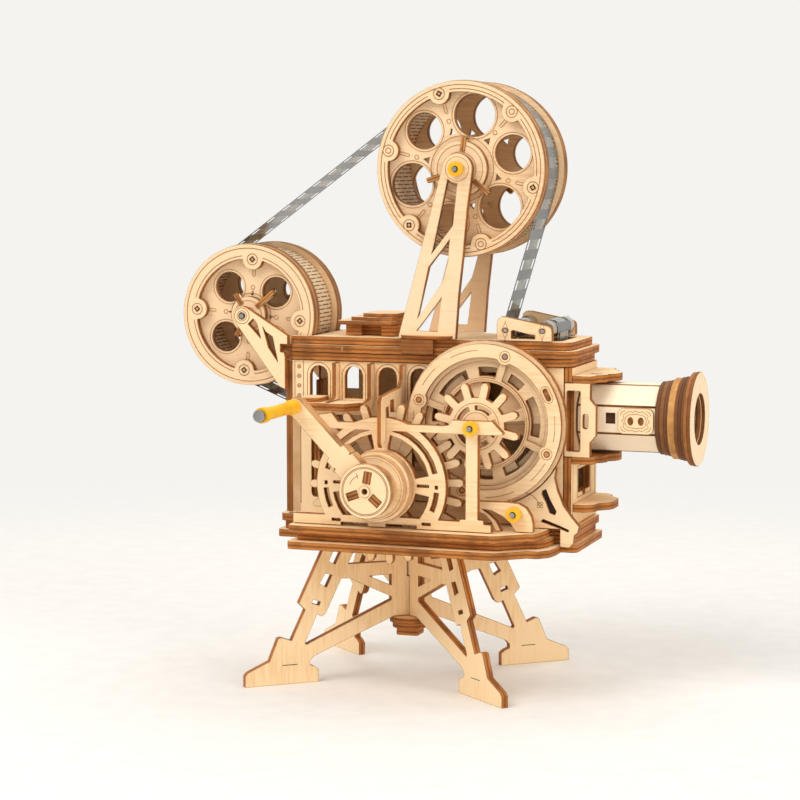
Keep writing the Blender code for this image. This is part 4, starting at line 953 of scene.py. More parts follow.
@dataclass
class Reel:
    """A reel: layered flanges with engraved bosses round a kerfed drum."""

    prefix: str
    body: str
    radius: float
    plan: ReelPlan
    disc_sheet: float = 3.2
    rim_sheet: float = 3.1
    bore: float = 1.4
    kerf_rows: float = 3.4

    def centre(self) -> Point:
        """Axis of the reel in millimetres."""
        return middle_of(f"{self.prefix}_drum", 0), middle_of(f"{self.prefix}_drum", 2)

    def angles(self) -> list[float]:
        """Angles of the bosses in degrees."""
        return [self.plan.first + 360 / self.plan.bosses * k for k in range(self.plan.bosses)]

    def ringed(self, boss: int) -> bool:
        """Whether a boss has a plain ring in place of its inlay."""
        return boss % 2 == 1 and self.plan.bosses > 4

    def dress(self) -> None:
        """Finish the drum, the axle and the cap."""
        x, z = self.centre()
        dress(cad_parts[f"{self.prefix}_drum"],
              Kerfed(f"kerf-bent plywood {self.prefix}_drum", (round(x, 2), round(z, 2)),
                     int(self.radius * self.kerf_rows)))
        for piece, kind in (("axle", STEEL), ("cap", SILICONE)):
            node = f"{self.prefix}_{piece}"
            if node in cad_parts:
                dress(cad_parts[node], kind)

    def flange(self, node: str, side: int) -> None:
        """Cut one flange: windowed disc, lobed rim and knob.

        Args:
            node: front or back.
            side: -1 for the front, 1 for the back.
        """
        cx, cz = self.centre()
        plan = self.plan
        inner = face_of(f"{self.prefix}_{node}", -side)
        y = inner + side * self.disc_sheet / 2
        wood = Plywood(f"reel plywood {self.prefix}_{node}", Grain.ACROSS_Y.value, round(y, 2),
                       self.disc_sheet, skin="C08850", face="F3D1A6", shade="E8BF90")
        bosses = self.angles()
        half_step = 180 / plan.bosses
        windows = [circle(plan.windows[k % 2], polar((0, 0), plan.window_at, boss - half_step), 48)
                   for k, boss in enumerate(bosses)]
        notches = []
        for boss in bosses:
            tip = plan.notch_at
            notches.append([polar((0, 0), tip + 1.5, boss), polar((0, 0), tip - 1.2, boss - 6.5),
                            polar((0, 0), tip - 1.2, boss + 6.5)])
        disc = plate(f"{self.prefix}_disc_{node}", circle(self.radius, count=120),
                     [*windows, *notches, circle(self.bore)], Plane.FRONT, Vector((cx, y, cz)),
                     self.disc_sheet, self.body, wood)
        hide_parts(f"{self.prefix}_{node}")
        at = Vector((cx, inner + side * (self.disc_sheet + self.rim_sheet / 2), cz))
        plate(f"{self.prefix}_rim_{node}", circle(self.radius - 0.3, count=120),
              [lobed(plan.rim, plan.lobe, plan.boss_at, bosses)], Plane.FRONT, at, self.rim_sheet,
              self.body, wood)
        plate(f"{self.prefix}_knob_{node}", circle(plan.knob, count=64), [circle(self.bore)], Plane.FRONT,
              at, self.rim_sheet, self.body, wood)

    def set_inlays(self, node: str, at: Vector) -> None:
        """Set a dark square inlay with a pale peg in each boss that isn't ringed.

        Args:
            node: front or back.
            at: Centre of the flange's outer face.
        """
        for k, angle in enumerate(self.angles()):
            if self.ringed(k):
                continue
            boss = polar((0, 0), self.plan.boss_at, angle)
            plate(f"{self.prefix}_boss_{k}_{node}", circle(1.4, boss, 4, angle),
                  [circle(0.75, boss, 4, angle)], Plane.FRONT, at, 0.24, self.body, CHAR_AND_SHADE)
            plate(f"{self.prefix}_peg_{k}_{node}", circle(0.7, boss, 4, angle), [], Plane.FRONT, at, 0.16,
                  self.body, BRIGHT)

    def engrave_flange(self, node: str, side: int, at: Vector) -> None:
        """Engrave the rim, the disc behind it and the knob.

        Args:
            node: front or back.
            side: -1 for the front, 1 for the back.
            at: Centre of the flange's outer face.
        """
        plan = self.plan
        step = 360 / plan.bosses
        rim_lines = [(circle(self.radius - 1.9, count=96), True)]
        disc_lines = [(circle(plan.disc, count=64), True)]
        for k, angle in enumerate(self.angles()):
            boss = polar((0, 0), plan.boss_at, angle)
            rim_lines.append((circle(2.3, boss, 28), True))
            rim_lines.append((arc(plan.rim + 1.2, angle + plan.skip, angle + step - plan.skip, 20), False))
            if self.ringed(k):
                rim_lines.append((circle(1.1, boss, 16), True))
            disc_lines.append((pill(polar((0, 0), plan.pill_at, angle), 4.6, 1.1, angle), True))
            disc_lines.append((circle(0.85, polar((0, 0), plan.dot_at, angle), 14), True))
            hole = polar((0, 0), plan.window_at, angle - step / 2)
            disc_lines.append((circle(plan.windows[k % 2] + 0.9, hole, 48), True))
        knob_lines = [(circle(plan.knob - inset, count=48), True) for inset in (1.6, 4.4)]
        deep = at - Vector((0, side * self.rim_sheet, 0))
        engrave(f"{self.prefix}_rim_lines_{node}", rim_lines, Plane.FRONT, at, self.body, 0.26)
        engrave(f"{self.prefix}_disc_lines_{node}", disc_lines, Plane.FRONT, deep, self.body, 0.24, FAINT)
        engrave(f"{self.prefix}_knob_lines_{node}", knob_lines, Plane.FRONT, at, self.body, 0.24, FAINT)

    def set_tabs(self, node: str, side: int, at: Vector) -> None:
        """Set the plates that lock the knob, standing out from it like spokes.

        Args:
            node: front or back.
            side: -1 for the front, 1 for the back.
            at: Centre of the flange's outer face.
        """
        cx, cz = self.centre()
        for k, (angle, start, stop) in enumerate(self.plan.tabs):
            a = math.radians(angle)
            bar = bar_outline((start + stop) / 2, stop - start, 2.0, angle)
            wood = Plywood(f"tab {self.prefix} {k}", (-math.sin(a), 0.0, math.cos(a)),
                           round(cz * math.cos(a) - cx * math.sin(a), 2), 2.0, skin="C98B4C", core="8A5426")
            plate(f"{self.prefix}_tab_{node}_{k}", bar, [], Plane.FRONT, at - Vector((0, side * 1.4, 0)),
                  3.4, self.body, wood)

    def build(self) -> None:
        """Cut the flanges, engrave them, and set the bosses and tabs."""
        cx, cz = self.centre()
        for side, node in ((-1, "front"), (1, "back")):
            self.flange(node, side)
            at = Vector((cx, face_of(f"{self.prefix}_{node}", side), cz))
            self.set_inlays(node, at)
            self.engrave_flange(node, side, at)
            self.set_tabs(node, side, at)


UPPER_PLAN = ReelPlan(106.5, 6, 30.7, 31.2, 4.2, 8.5, 22.0, (8.6, 7.4), 25.2, 19.8, 15.6, 13.2, 11.2,
                      ((82.0, 7.2, 12.8), (-39.0, 7.4, 15.4), (199.0, 9.0, 14.6)))
TAKE_PLAN = ReelPlan(85.0, 4, 23.4, 23.2, 4.3, 11.0, 14.8, (6.3, 6.3), 18.2, 11.4, 9.2, 8.9, 7.6,
                     ((41.0, 5.0, 14.6), (124.0, 5.0, 10.4), (238.0, 5.0, 10.4)))


@dataclass
class FilmBand:
    """The perforated film: one closed loop over the reels and rollers.

    thickness is the room that the band takes on the wheels; strip is what shows of it.
    """

    width: float = 20.0
    thickness: float = 0.4
    strip: float = 0.16
    fit: float = 0.3
    sunk: float = 0.1
    pitch: float = 8.4
    hole_length: float = 4.2
    hole_width: float = 2.6
    margin: float = 1.2
    chord: float = 1.2

    @staticmethod
    def wheel(node: str, more: float, sense: int) -> Wheel:
        """Measure one wheel on its CAD node.

        Args:
            node: The node's name.
            more: How far the band's inside lies past the node's radius.
            sense: 1 where the band passes outside the wheel, -1 where it passes behind it.

        Returns:
            Its centre, the radius of the band's inside and the sense.
        """
        low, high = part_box(node)
        return middle_of(node, 0), middle_of(node, 2), (high[0] - low[0]) / 2 / MM + more, sense

    def wheels(self) -> list[Wheel]:
        """Wheels in the order in which the band meets them."""
        return [self.wheel("take_up_drum", self.fit, 1), self.wheel("upper_reel_drum", self.fit, 1),
                self.wheel("guide_roller_left", self.thickness - self.sunk, -1),
                self.wheel("guide_roller_right", -self.sunk, 1), self.wheel("lower_roller", self.fit, 1)]

    @staticmethod
    def tangent(a: Wheel, b: Wheel, half: float) -> tuple[Point, Point]:
        """Find where the band leaves one wheel and meets the next.

        Args:
            a: The wheel that it leaves.
            b: The wheel that it meets.
            half: Half the band's thickness.

        Returns:
            The two points.
        """
        ra = a[2] + a[3] * half
        rb = b[2] + b[3] * half
        dx, dz = b[0] - a[0], b[1] - a[1]
        swing = math.asin((a[3] * ra - b[3] * rb) / math.hypot(dx, dz))
        normal = math.atan2(dz, dx) + math.pi / 2 - swing
        return ((a[0] + a[3] * ra * math.cos(normal), a[1] + a[3] * ra * math.sin(normal)),
                (b[0] + b[3] * rb * math.cos(normal), b[1] + b[3] * rb * math.sin(normal)))

    def path(self) -> Loop:
        """Lay the band's middle line round the wheels.

        Returns:
            Points in millimetres, in order round the loop.
        """
        wheels = self.wheels()
        half = self.thickness / 2
        ends = [self.tangent(wheel, wheels[(i + 1) % len(wheels)], half) for i, wheel in enumerate(wheels)]
        points: Loop = []
        for i, (x, z, radius, sense) in enumerate(wheels):
            begin = ends[i - 1][1]
            stop = ends[i][0]
            first = math.atan2(begin[1] - z, begin[0] - x)
            sweep = (math.atan2(stop[1] - z, stop[0] - x) - first) % (2 * math.pi)
            if sense > 0:
                sweep -= 2 * math.pi
            reach = radius + sense * half
            steps = max(4, int(abs(sweep) * reach / self.chord))
            angles = [first + sweep * k / steps for k in range(steps + 1)]
            points += [(x + reach * math.cos(a), z + reach * math.sin(a)) for a in angles]
        return points

    @staticmethod
    def point_at(loop: Loop, lengths: list[float], distance: float) -> Point:
        """Find the point at a distance along a loop.

        Args:
            loop: Its points, the first one again at the end.
            lengths: The distance of each point from the first.
            distance: The distance asked for.

        Returns:
            The point.
        """
        low = min(max(i for i, d in enumerate(lengths) if d <= distance + SLACK), len(loop) - 2)
        span = lengths[low + 1] - lengths[low] or 1.0
        share = (distance - lengths[low]) / span
        (x0, z0), (x1, z1) = loop[low], loop[low + 1]
        return x0 + (x1 - x0) * share, z0 + (z1 - z0) * share

    def build(self) -> None:
        """Lay the perforated strip along the path and give it its thickness."""
        line = self.path()
        loop = line + line[:1]
        lengths = [0.0]
        for (x0, z0), (x1, z1) in zip(loop, loop[1:]):
            lengths.append(lengths[-1] + math.hypot(x1 - x0, z1 - z0))
        cells = int(lengths[-1] / self.pitch)
        cuts = (0.0, self.hole_length / 2, self.hole_length, (self.pitch + self.hole_length) / 2)
        marks = [lengths[-1] * k / cells + cut for k in range(cells) for cut in cuts]
        half = self.width / 2
        rows = [-half, -half + self.margin, -half + self.margin + self.hole_width,
                half - self.margin - self.hole_width, half - self.margin, half]
        vertices = []
        for mark in marks:
            x, z = self.point_at(loop, lengths, mark)
            vertices += [(x * MM, y * MM, z * MM) for y in rows]
        faces = []
        clear = []
        across = len(rows)
        for i in range(len(marks)):
            near = i * across
            far = (i + 1) % len(marks) * across
            beside_hole = i % len(cuts) < 2
            for r in range(across - 1):
                if r in (1, 3) and beside_hole:
                    continue
                faces.append((near + r, near + r + 1, far + r + 1, far + r))
                clear.append(r == 2 and beside_hole)
        mesh = bpy.data.meshes.new("film_loop")
        mesh.from_pydata(vertices, [], faces)
        obj = add_object("film_loop", mesh)
        select_only(obj)
        obj.data.materials.append(finish_of(FILM))
        obj.data.materials.append(finish_of(FRAME))
        for polygon, see_through in zip(obj.data.polygons, clear):
            polygon.material_index = 1 if see_through else 0
        solid = obj.modifiers.new("thickness", "SOLIDIFY")
        solid.thickness = self.strip * MM
        solid.offset = 0.0
        bpy.ops.object.modifier_apply(modifier=solid.name)
        bpy.ops.object.shade_smooth_by_angle(angle=SMOOTH)
        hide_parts("film_strip")
        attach(obj, "frame")
        LOG.info("film_loop: %d cells", cells)


@dataclass
class RoundWork:
    """Turned and round pieces: crank hub and arm, rods, caps, grip, rollers and glass."""

    rods: tuple[str, ...] = ("crank_shaft", "shutter_shaft", "handle_pin", "lower_roller")
    caps: tuple[str, ...] = ("handle_grip", "shutter_cap", "lower_cap")
    rollers: tuple[str, ...] = ("guide_roller_left", "guide_roller_right")

    def dress(self) -> None:
        """Finish the round nodes."""
        # The hub's edges get a lighter skin than other edges: painted light on its curved, lit side.
        dress_sheet("crank_hub", Grain.ACROSS_Y.value, middle_of("crank_hub", 1), 3.3, skin="E3B685",
                    core="D09B62", seam="A26B38")
        dress_sheet("crank_arm", Grain.ACROSS_Y.value, middle_of("crank_arm", 1), 3.1, skin="DCAB76",
                    core="C8925A", seam="A26B38")
        groups = ((self.rods, STEEL), (self.caps, SILICONE), (self.rollers, CHROME),
                  (("lens_glass",), GLASS))
        for nodes, kind in groups:
            for node in nodes:
                dress(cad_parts[node], kind)
        LOG.info("round pieces dressed")


@dataclass
class RingFront:
    """The large front ring: a raised lobed band over a windowed inner plate."""

    bosses: tuple[float, ...] = (-108.0, -23.0, 72.0, 162.0)
    dashes: tuple[Point, ...] = (
        (133, 150), (171, 179), (-12, 8), (-48, -30), (95, 118), (-88, -64), (-150, -128),
    )
    rim: float = 26.6
    lobe: float = 3.3
    boss_at: float = 28.5
    slot_at: float = 28.9
    slot_angle: float = 25.5
    band_radius: float = 32.0
    band_sheet: float = 1.4
    base_radius: float = 31.7
    base_sheet: float = 1.5
    eye: float = 16.8

    def slot(self, length: float, width: float) -> Loop:
        """Outline of the slanting slot at a length and a width."""
        return pill(polar((0, 0), self.slot_at, self.slot_angle), length, width, self.slot_angle + 90, 6)

    def build(self) -> None:
        """Cut the two layers and engrave them."""
        cx, cz = middle_of("ring_front", 0), middle_of("ring_front", 2)
        front = face_of("ring_front", -1)
        back = face_of("ring_front", 1)
        at_front = Vector((cx, front, cz))
        bosses = list(self.bosses)
        spots = [polar((0, 0), self.boss_at, boss) for boss in bosses]
        band_wood = Plywood("ring band plywood", Grain.ACROSS_Y.value, round(front + 0.7, 2), 1.5)
        # The lower plate's faces are darker than the band's: painted shade under the raised band.
        base_wood = Plywood("shaded ring base plywood", Grain.ACROSS_Y.value, round(back - 0.8, 2), 1.7,
                            face="EDC99C", shade="E2BA8A")
        holes = [lobed(self.rim, self.lobe, self.boss_at, bosses), self.slot(5.4, 2.1)]
        holes += [circle(0.55, spot, 12) for spot in spots]
        band = plate("ring_band", circle(self.band_radius, count=140), holes, Plane.FRONT,
                     Vector((cx, front + self.band_sheet / 2, cz)), self.band_sheet, "frame", band_wood)
        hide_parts("ring_front")
        holes = [circle(self.eye, count=80)]
        for boss, following in zip(bosses, [*bosses[1:], bosses[0] + 360]):
            holes.append(arc(25.0, boss + 3, following - 3, 26) + arc(18.4, following - 4, boss + 4, 26))
        plate("ring_base", circle(self.base_radius, count=140), holes, Plane.FRONT,
              Vector((cx, back - self.base_sheet / 2, cz)), self.base_sheet, "frame", base_wood)
        plate("ring_slot_end", self.slot(5.2, 1.9), [], Plane.FRONT, Vector((cx, front + 0.9, cz)), 0.8,
              "frame", TAB)
        lines = [(arc(29.5, begin, end, 10), False) for begin, end in self.dashes]
        lines.append((self.slot(7.0, 3.7), True))
        lines += [(circle(2.2, spot, 24), True) for spot in spots]
        engrave("ring_lines", lines, Plane.FRONT, at_front, "frame", 0.28, FAINT)
        for k, spot in enumerate(spots):
            plate(f"ring_pin_{k}", circle(1.35, spot, 20), [circle(0.8, spot, 14)], Plane.FRONT, at_front,
                  0.3, "frame", TAB)
            plate(f"ring_peg_{k}", circle(0.7, spot, 14), [], Plane.FRONT, at_front, 0.2, "frame",
                  BRIGHT if k != 2 else STEEL)
        engrave("ring_base_lines", [(circle(17.6, count=72), True)], Plane.FRONT,
                Vector((cx, back - self.base_sheet, cz)), "frame", 0.24, FAINT)


@dataclass
class GearLines:
    """Engraved rings on the two gears, by node, body and radii."""

    rings: tuple[tuple[str, str, tuple[float, ...]], ...] = (
        ("pinion_gear", "shutter", (5.6, 9.4)),
        ("crank_gear", "crank", (7.4, 22.2, 25.6)),
    )

    def build(self) -> None:
        """Engrave both gears."""
        for node, body, radii in self.rings:
            at = Vector((middle_of(node, 0), face_of(node, -1), middle_of(node, 2)))
            loops = [(circle(radius, count=64), True) for radius in radii]
            engrave(f"{node}_lines", loops, Plane.FRONT, at, body, 0.26, FAINT)


@dataclass
class WallTrim:
    """Borders, studs and small raised pieces of the housing."""

    windows: tuple[float, ...] = (-32.9, -17.6, -2.9, 10.8)
    window_half: float = 5.1
    sill: float = 117.3
    spring: float = 126.6
    pilaster: tuple[float, float] = (-43.5, -39.7)
    stud_x: float = -41.6
    studs: tuple[float, ...] = (117.8, 121.9, 125.9, 129.8)
    face: float = 20.0
    low: float = 69.3
    high: float = 132.2
    shelf_z: float = 117.35
    shelf: tuple[Point, ...] = (
        (-37.2, -20.5), (-37.2, -30.4), (-35.6, -31.6), (-30.0, -31.6), (-28.5, -30.2), (-28.5, -20.5),
    )
    panel: tuple[Point, ...] = (
        (-34.0, 73.5), (68.5, 73.5), (70.5, 75.5), (70.5, 109.5), (68.5, 111.5), (-34.0, 111.5),
        (-36.0, 109.5), (-36.0, 75.5),
    )
    panel_centre: Point = (17.0, 92.5)
    axles: tuple[Point, ...] = ((40.5, 109.9), (56.3, 75.8))
    inner_y: float = 14.2
    lens_side: float = 74.5

    def wall(self, side: int, name: str) -> None:
        """Trim one long wall.

        Args:
            side: -1 for the front, 1 for the back.
            name: front or back.
        """
        at = Vector((0, side * self.face, 0))
        lines = [(arch(x, self.window_half, self.sill - 0.6, self.spring), False) for x in self.windows]
        lines += [([(x, 114.5), (x, self.high)], False) for x in self.pilaster]
        lines += [(circle(0.75, (self.stud_x, z), 14), True) for z in self.studs]
        lines += [([(-41.0, 73.0), (-41.0, 113.0)], False), ([(-41.0, 113.0), (-36.8, 113.0)], False)]
        engrave(f"wall_lines_{name}", lines, Plane.FRONT, at, "frame", 0.28)
        for k, z in enumerate(self.studs):
            plate(f"wall_stud_{name}_{k}", circle(0.45, (self.stud_x, z), 10), [], Plane.FRONT, at, 0.5,
                  "frame", BRIGHT)
        # A thin darker plate beside the corner post: painted shade for the recess there.
        plate(f"wall_recess_shade_{name}", oblong(-44.3, -41.2, 69.6, 113.6), [], Plane.FRONT, at, 0.16, "frame",
              RECESS_SHADE)
        edge = Plywood(f"wall corner edge {name}", Grain.ACROSS_X.value, -45.9, 2.9, skin="9A6030")
        plate(f"wall_edge_{name}", oblong(-47.2, -44.6, self.low, self.high), [], Plane.FRONT,
              Vector((0, side * 20.16, 0)), 0.3, "frame", edge)
        post = [(side * 20.3, self.low), (side * 20.3, self.high), (side * 17.0, self.high),
                (side * 17.0, self.low)]
        plate(f"wall_post_{name}", post, [], Plane.SIDE, Vector((-46.8, 0, 0)), 0.8, "frame", edge)

    def back_panel(self) -> None:
        """Engrave the back wall's panel, its round mark and the axles' rings."""
        lines = [(list(self.panel), True)]
        lines += [(circle(radius, self.panel_centre, 60), True) for radius in (14.0, 12.6)]
        lines.append((pill(self.panel_centre, 20.0, 2.2, 0.0), True))
        lines += [(circle(radius, spot, 28), True) for spot in self.axles for radius in (2.6, 4.0)]
        engrave("back_panel_lines", lines, Plane.FRONT, Vector((0, self.face, 0)), "frame", 0.3)

    def inner_frame(self) -> None:
        """Stand a holed plate, painted darker as shade, inside the housing behind the arched windows."""
        holes = [circle(8.0, (2.6, 98.0), 40), pill((12.0, 112.0), 24.0, 3.0, 0.0),
                 pill((-16.0, 108.0), 9.0, 2.4, 90.0)]
        # Its faces are darker than the other plates: painted shade inside the housing.
        wood = Plywood("shaded inner frame plywood", Grain.ACROSS_Y.value, self.inner_y, 2.5, face="D9B384",
                       shade="C99F6E")
        plate("inner_frame", oblong(-26.0, 30.0, 84.0, 131.8), holes, Plane.FRONT,
              Vector((0, self.inner_y, 0)), 2.4, "frame", wood)

    def build(self) -> None:
        """Build the trim of the front, back and right walls."""
        for side, name in ((-1, "front"), (1, "back")):
            self.wall(side, name)
        plate("shelf_block", list(self.shelf), [], Plane.FLOOR, Vector((0, 0, self.shelf_z)), 1.8, "frame",
              Plywood("shelf block plywood", Grain.ACROSS_Z.value, self.shelf_z, 1.9))
        self.back_panel()
        self.inner_frame()
        door = [(-10.6, 79.4), (-10.6, 92.0), (10.6, 92.0), (10.6, 79.4), (-10.6, 79.4)]
        border = [(-17.6, 70.6), (-17.6, 95.4), (17.6, 95.4), (17.6, 70.6)]
        engrave("door_lines", [(door, False), (border, False)], Plane.SIDE, Vector((self.lens_side, 0, 0)),
                "frame", 0.28)


@dataclass
class DeckTrim:
    """Clasp under the tower, tower plates, cheek marks and arm rings."""

    axle: Point = (26.9, 210.9)
    arm_axle: Point = (-65.7, 150.3)
    tower_low: tuple[Point, ...] = (
        (2.0, 142.7), (26.3, 142.7), (27.5, 160.0), (29.3, 176.0), (31.0, 195.0), (32.9, 209.0),
    )
    tower_bars: tuple[tuple[Point, ...], ...] = (
        ((14.9, 171.6), (24.0, 183.4), (23.2, 174.0), (21.8, 168.9), (20.7, 165.4), (9.9, 150.2)),
        ((9.5, 145.7), (20.7, 160.0), (18.9, 145.6)),
    )
    clasp: tuple[Point, ...] = (
        (3.4, -21.6), (25.2, -21.6), (24.6, -23.4), (19.6, -24.3), (9.0, -24.3), (4.2, -23.4),
    )
    clasp_z: float = 143.45
    screws: tuple[float, float] = (46.7, 62.0)
    ticks: tuple[float, float] = (-22.0, 57.0)

    def tower(self, node: str) -> None:
        """Cut one A-shaped tower plate with its slim bars.

        Args:
            node: The CAD node that it replaces.
        """
        y = middle_of(node, 1)
        outline = [*self.tower_low, *arc(6.2, -6, 170, 24, self.axle), (19.9, 208.6)]
        top_window = [*arc(5.6, 222, 272, 6, self.axle), (26.0, 196.0), (25.2, 188.3), (15.9, 176.4)]
        holes = [top_window, *[list(bar) for bar in self.tower_bars], circle(1.5, self.axle, 20)]
        wood = Plywood(f"tower plywood {node}", Grain.ACROSS_Y.value, round(y, 2), face="F4D4AB",
                       shade="EBC699")
        piece = plate(f"{node}_plate", outline, holes, Plane.FRONT, Vector((0, y, 0)), PLY, "frame", wood)
        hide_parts(node)

    def side_lines(self, side: int, name: str) -> None:
        """Engrave one side's roller cheek, reel arm and tower plate.

        Args:
            side: -1 for the front, 1 for the back.
            name: front or back.
        """
        cheek = []
        for x in self.screws:
            cheek += [([(x, 143.6), (x + 1.5, 146.8), (x, 150.0), (x - 1.5, 146.8)], True),
                      ([(x, 142.9), (x, 143.6)], False), ([(x, 150.0), (x, 150.7)], False)]
        arm = [(circle(radius, self.arm_axle, 32), True) for radius in (3.3, 2.1)]
        tower = [(circle(4.9, self.axle, 40), True)]
        for piece, node, lines, width, kind in (("cheek", "roller_cheek", cheek, 0.26, SCORCH),
                                                ("arm", "reel_arm", arm, 0.26, SCORCH),
                                                ("tower", "tower", tower, 0.24, FAINT)):
            at = Vector((0, face_of(f"{node}_{name}", side), 0))
            engrave(f"{piece}_lines_{name}", lines, Plane.FRONT, at, "frame", width, kind)

    def build(self) -> None:
        """Build the deck's small pieces."""
        for node in ("tower_front", "tower_back"):
            self.tower(node)
        thin = Plywood("clasp plywood", Grain.ACROSS_Z.value, self.clasp_z, 1.6)
        for side, name in ((1, "front"), (-1, "back")):
            outline = [(x, y * side) for x, y in self.clasp]
            plate(f"tower_clasp_{name}", outline, [], Plane.FLOOR, Vector((0, 0, self.clasp_z)), 1.4,
                  "frame", thin)
        plate("clasp_block", oblong(4.0, 17.6, 136.6, 142.5), [], Plane.FRONT, Vector((0, -23.0, 0)), 1.6,
              "frame", Plywood("clasp block plywood", Grain.ACROSS_Z.value, 138.1, skin="9A6030"))
        for side, name in ((-1, "front"), (1, "back")):
            self.side_lines(side, name)
        ticks = [([(x, 136.4), (x, 138.8)], False) for x in self.ticks]
        engrave("deck_ticks_lower", ticks, Plane.FRONT, Vector((0, -22.0, 0)), "frame", 0.3, TICK)


@dataclass
class GussetTrim:
    """Painted shade in the corner gusset's slots, its engraved star and the washer beside it."""

    bone: tuple[Point, ...] = (
        (64.2, 83.7), (65.4, 84.2), (67.0, 80.4), (69.6, 75.7), (69.0, 74.6), (67.3, 75.2), (65.8, 79.1),
        (64.1, 82.2),
    )
    slit: tuple[Point, ...] = (
        (63.8, 71.4), (64.5, 72.2), (71.4, 69.7), (74.9, 68.3), (74.6, 67.8), (71.0, 69.2),
    )
    star: Point = (63.2, 78.0)
    washer: Point = (56.3, 75.8)

    def build(self) -> None:
        """Build the gusset's small pieces."""
        y = face_of("corner_gusset", -1)
        # Dark plates set inside the bone and the slit: painted shade in the depths of the slots.
        for name, loop in (("bone", self.bone), ("slit", self.slit)):
            plate(f"gusset_{name}_depth", list(loop), [], Plane.FRONT, Vector((0, y + 1.6, 0)), 1.0, "frame",
                  CHAR_AND_SHADE)
        lines = [(circle(0.55, polar(self.star, 0.9, 45 + 90 * k), 8), True) for k in range(4)]
        lines.append((arc(6.9, 20, 165, 16, self.washer), False))
        engrave("gusset_lines", lines, Plane.FRONT, Vector((0, y, 0)), "frame", 0.26)


@dataclass
class HubTrim:
    """Tabs, arrow and rings on the crank's hub, and its washer."""

    centre: Point = (2.6, 85.6)
    first: float = 80.0
    tab_width: float = 2.8

    def build(self) -> None:
        """Build the hub's small pieces."""
        cx, cz = self.centre
        y = face_of("crank_arm", -1)
        at = Vector((cx, y, cz))
        for k in range(3):
            angle = self.first + 120 * k
            a = math.radians(angle)
            wood = Plywood(f"hub tab {k}", (-math.sin(a), 0.0, math.cos(a)),
                           round(cz * math.cos(a) - cx * math.sin(a), 2), self.tab_width, skin="B8763C",
                           core="6B3A16")
            plate(f"hub_tab_{k}", bar_outline(5.5, 4.5, self.tab_width, angle), [], Plane.FRONT,
                  Vector((cx, y + 0.9, cz)), 1.4, "crank", wood)
        plate("hub_washer", circle(2.3, count=32), [circle(1.2, count=20)], Plane.FRONT, at, 0.9, "crank",
              Plywood("hub washer plywood", Grain.ACROSS_Y.value, round(y - 0.2, 2), 1.2))
        sweep = arc(6.8, 158, 116, 10)
        head = [polar((0, 0), 8.0, 118), sweep[-1], polar((0, 0), 5.8, 121)]
        lines = [(circle(9.1, count=64), True), (circle(9.6, count=64), True), (sweep, False), (head, False)]
        engrave("hub_lines", lines, Plane.FRONT, at, "crank", 0.26)
        engrave("hub_steps", [(circle(12.0, count=64), True)], Plane.FRONT, Vector((cx, y + 9.0, cz)),
                "crank", 0.2, FAINT)


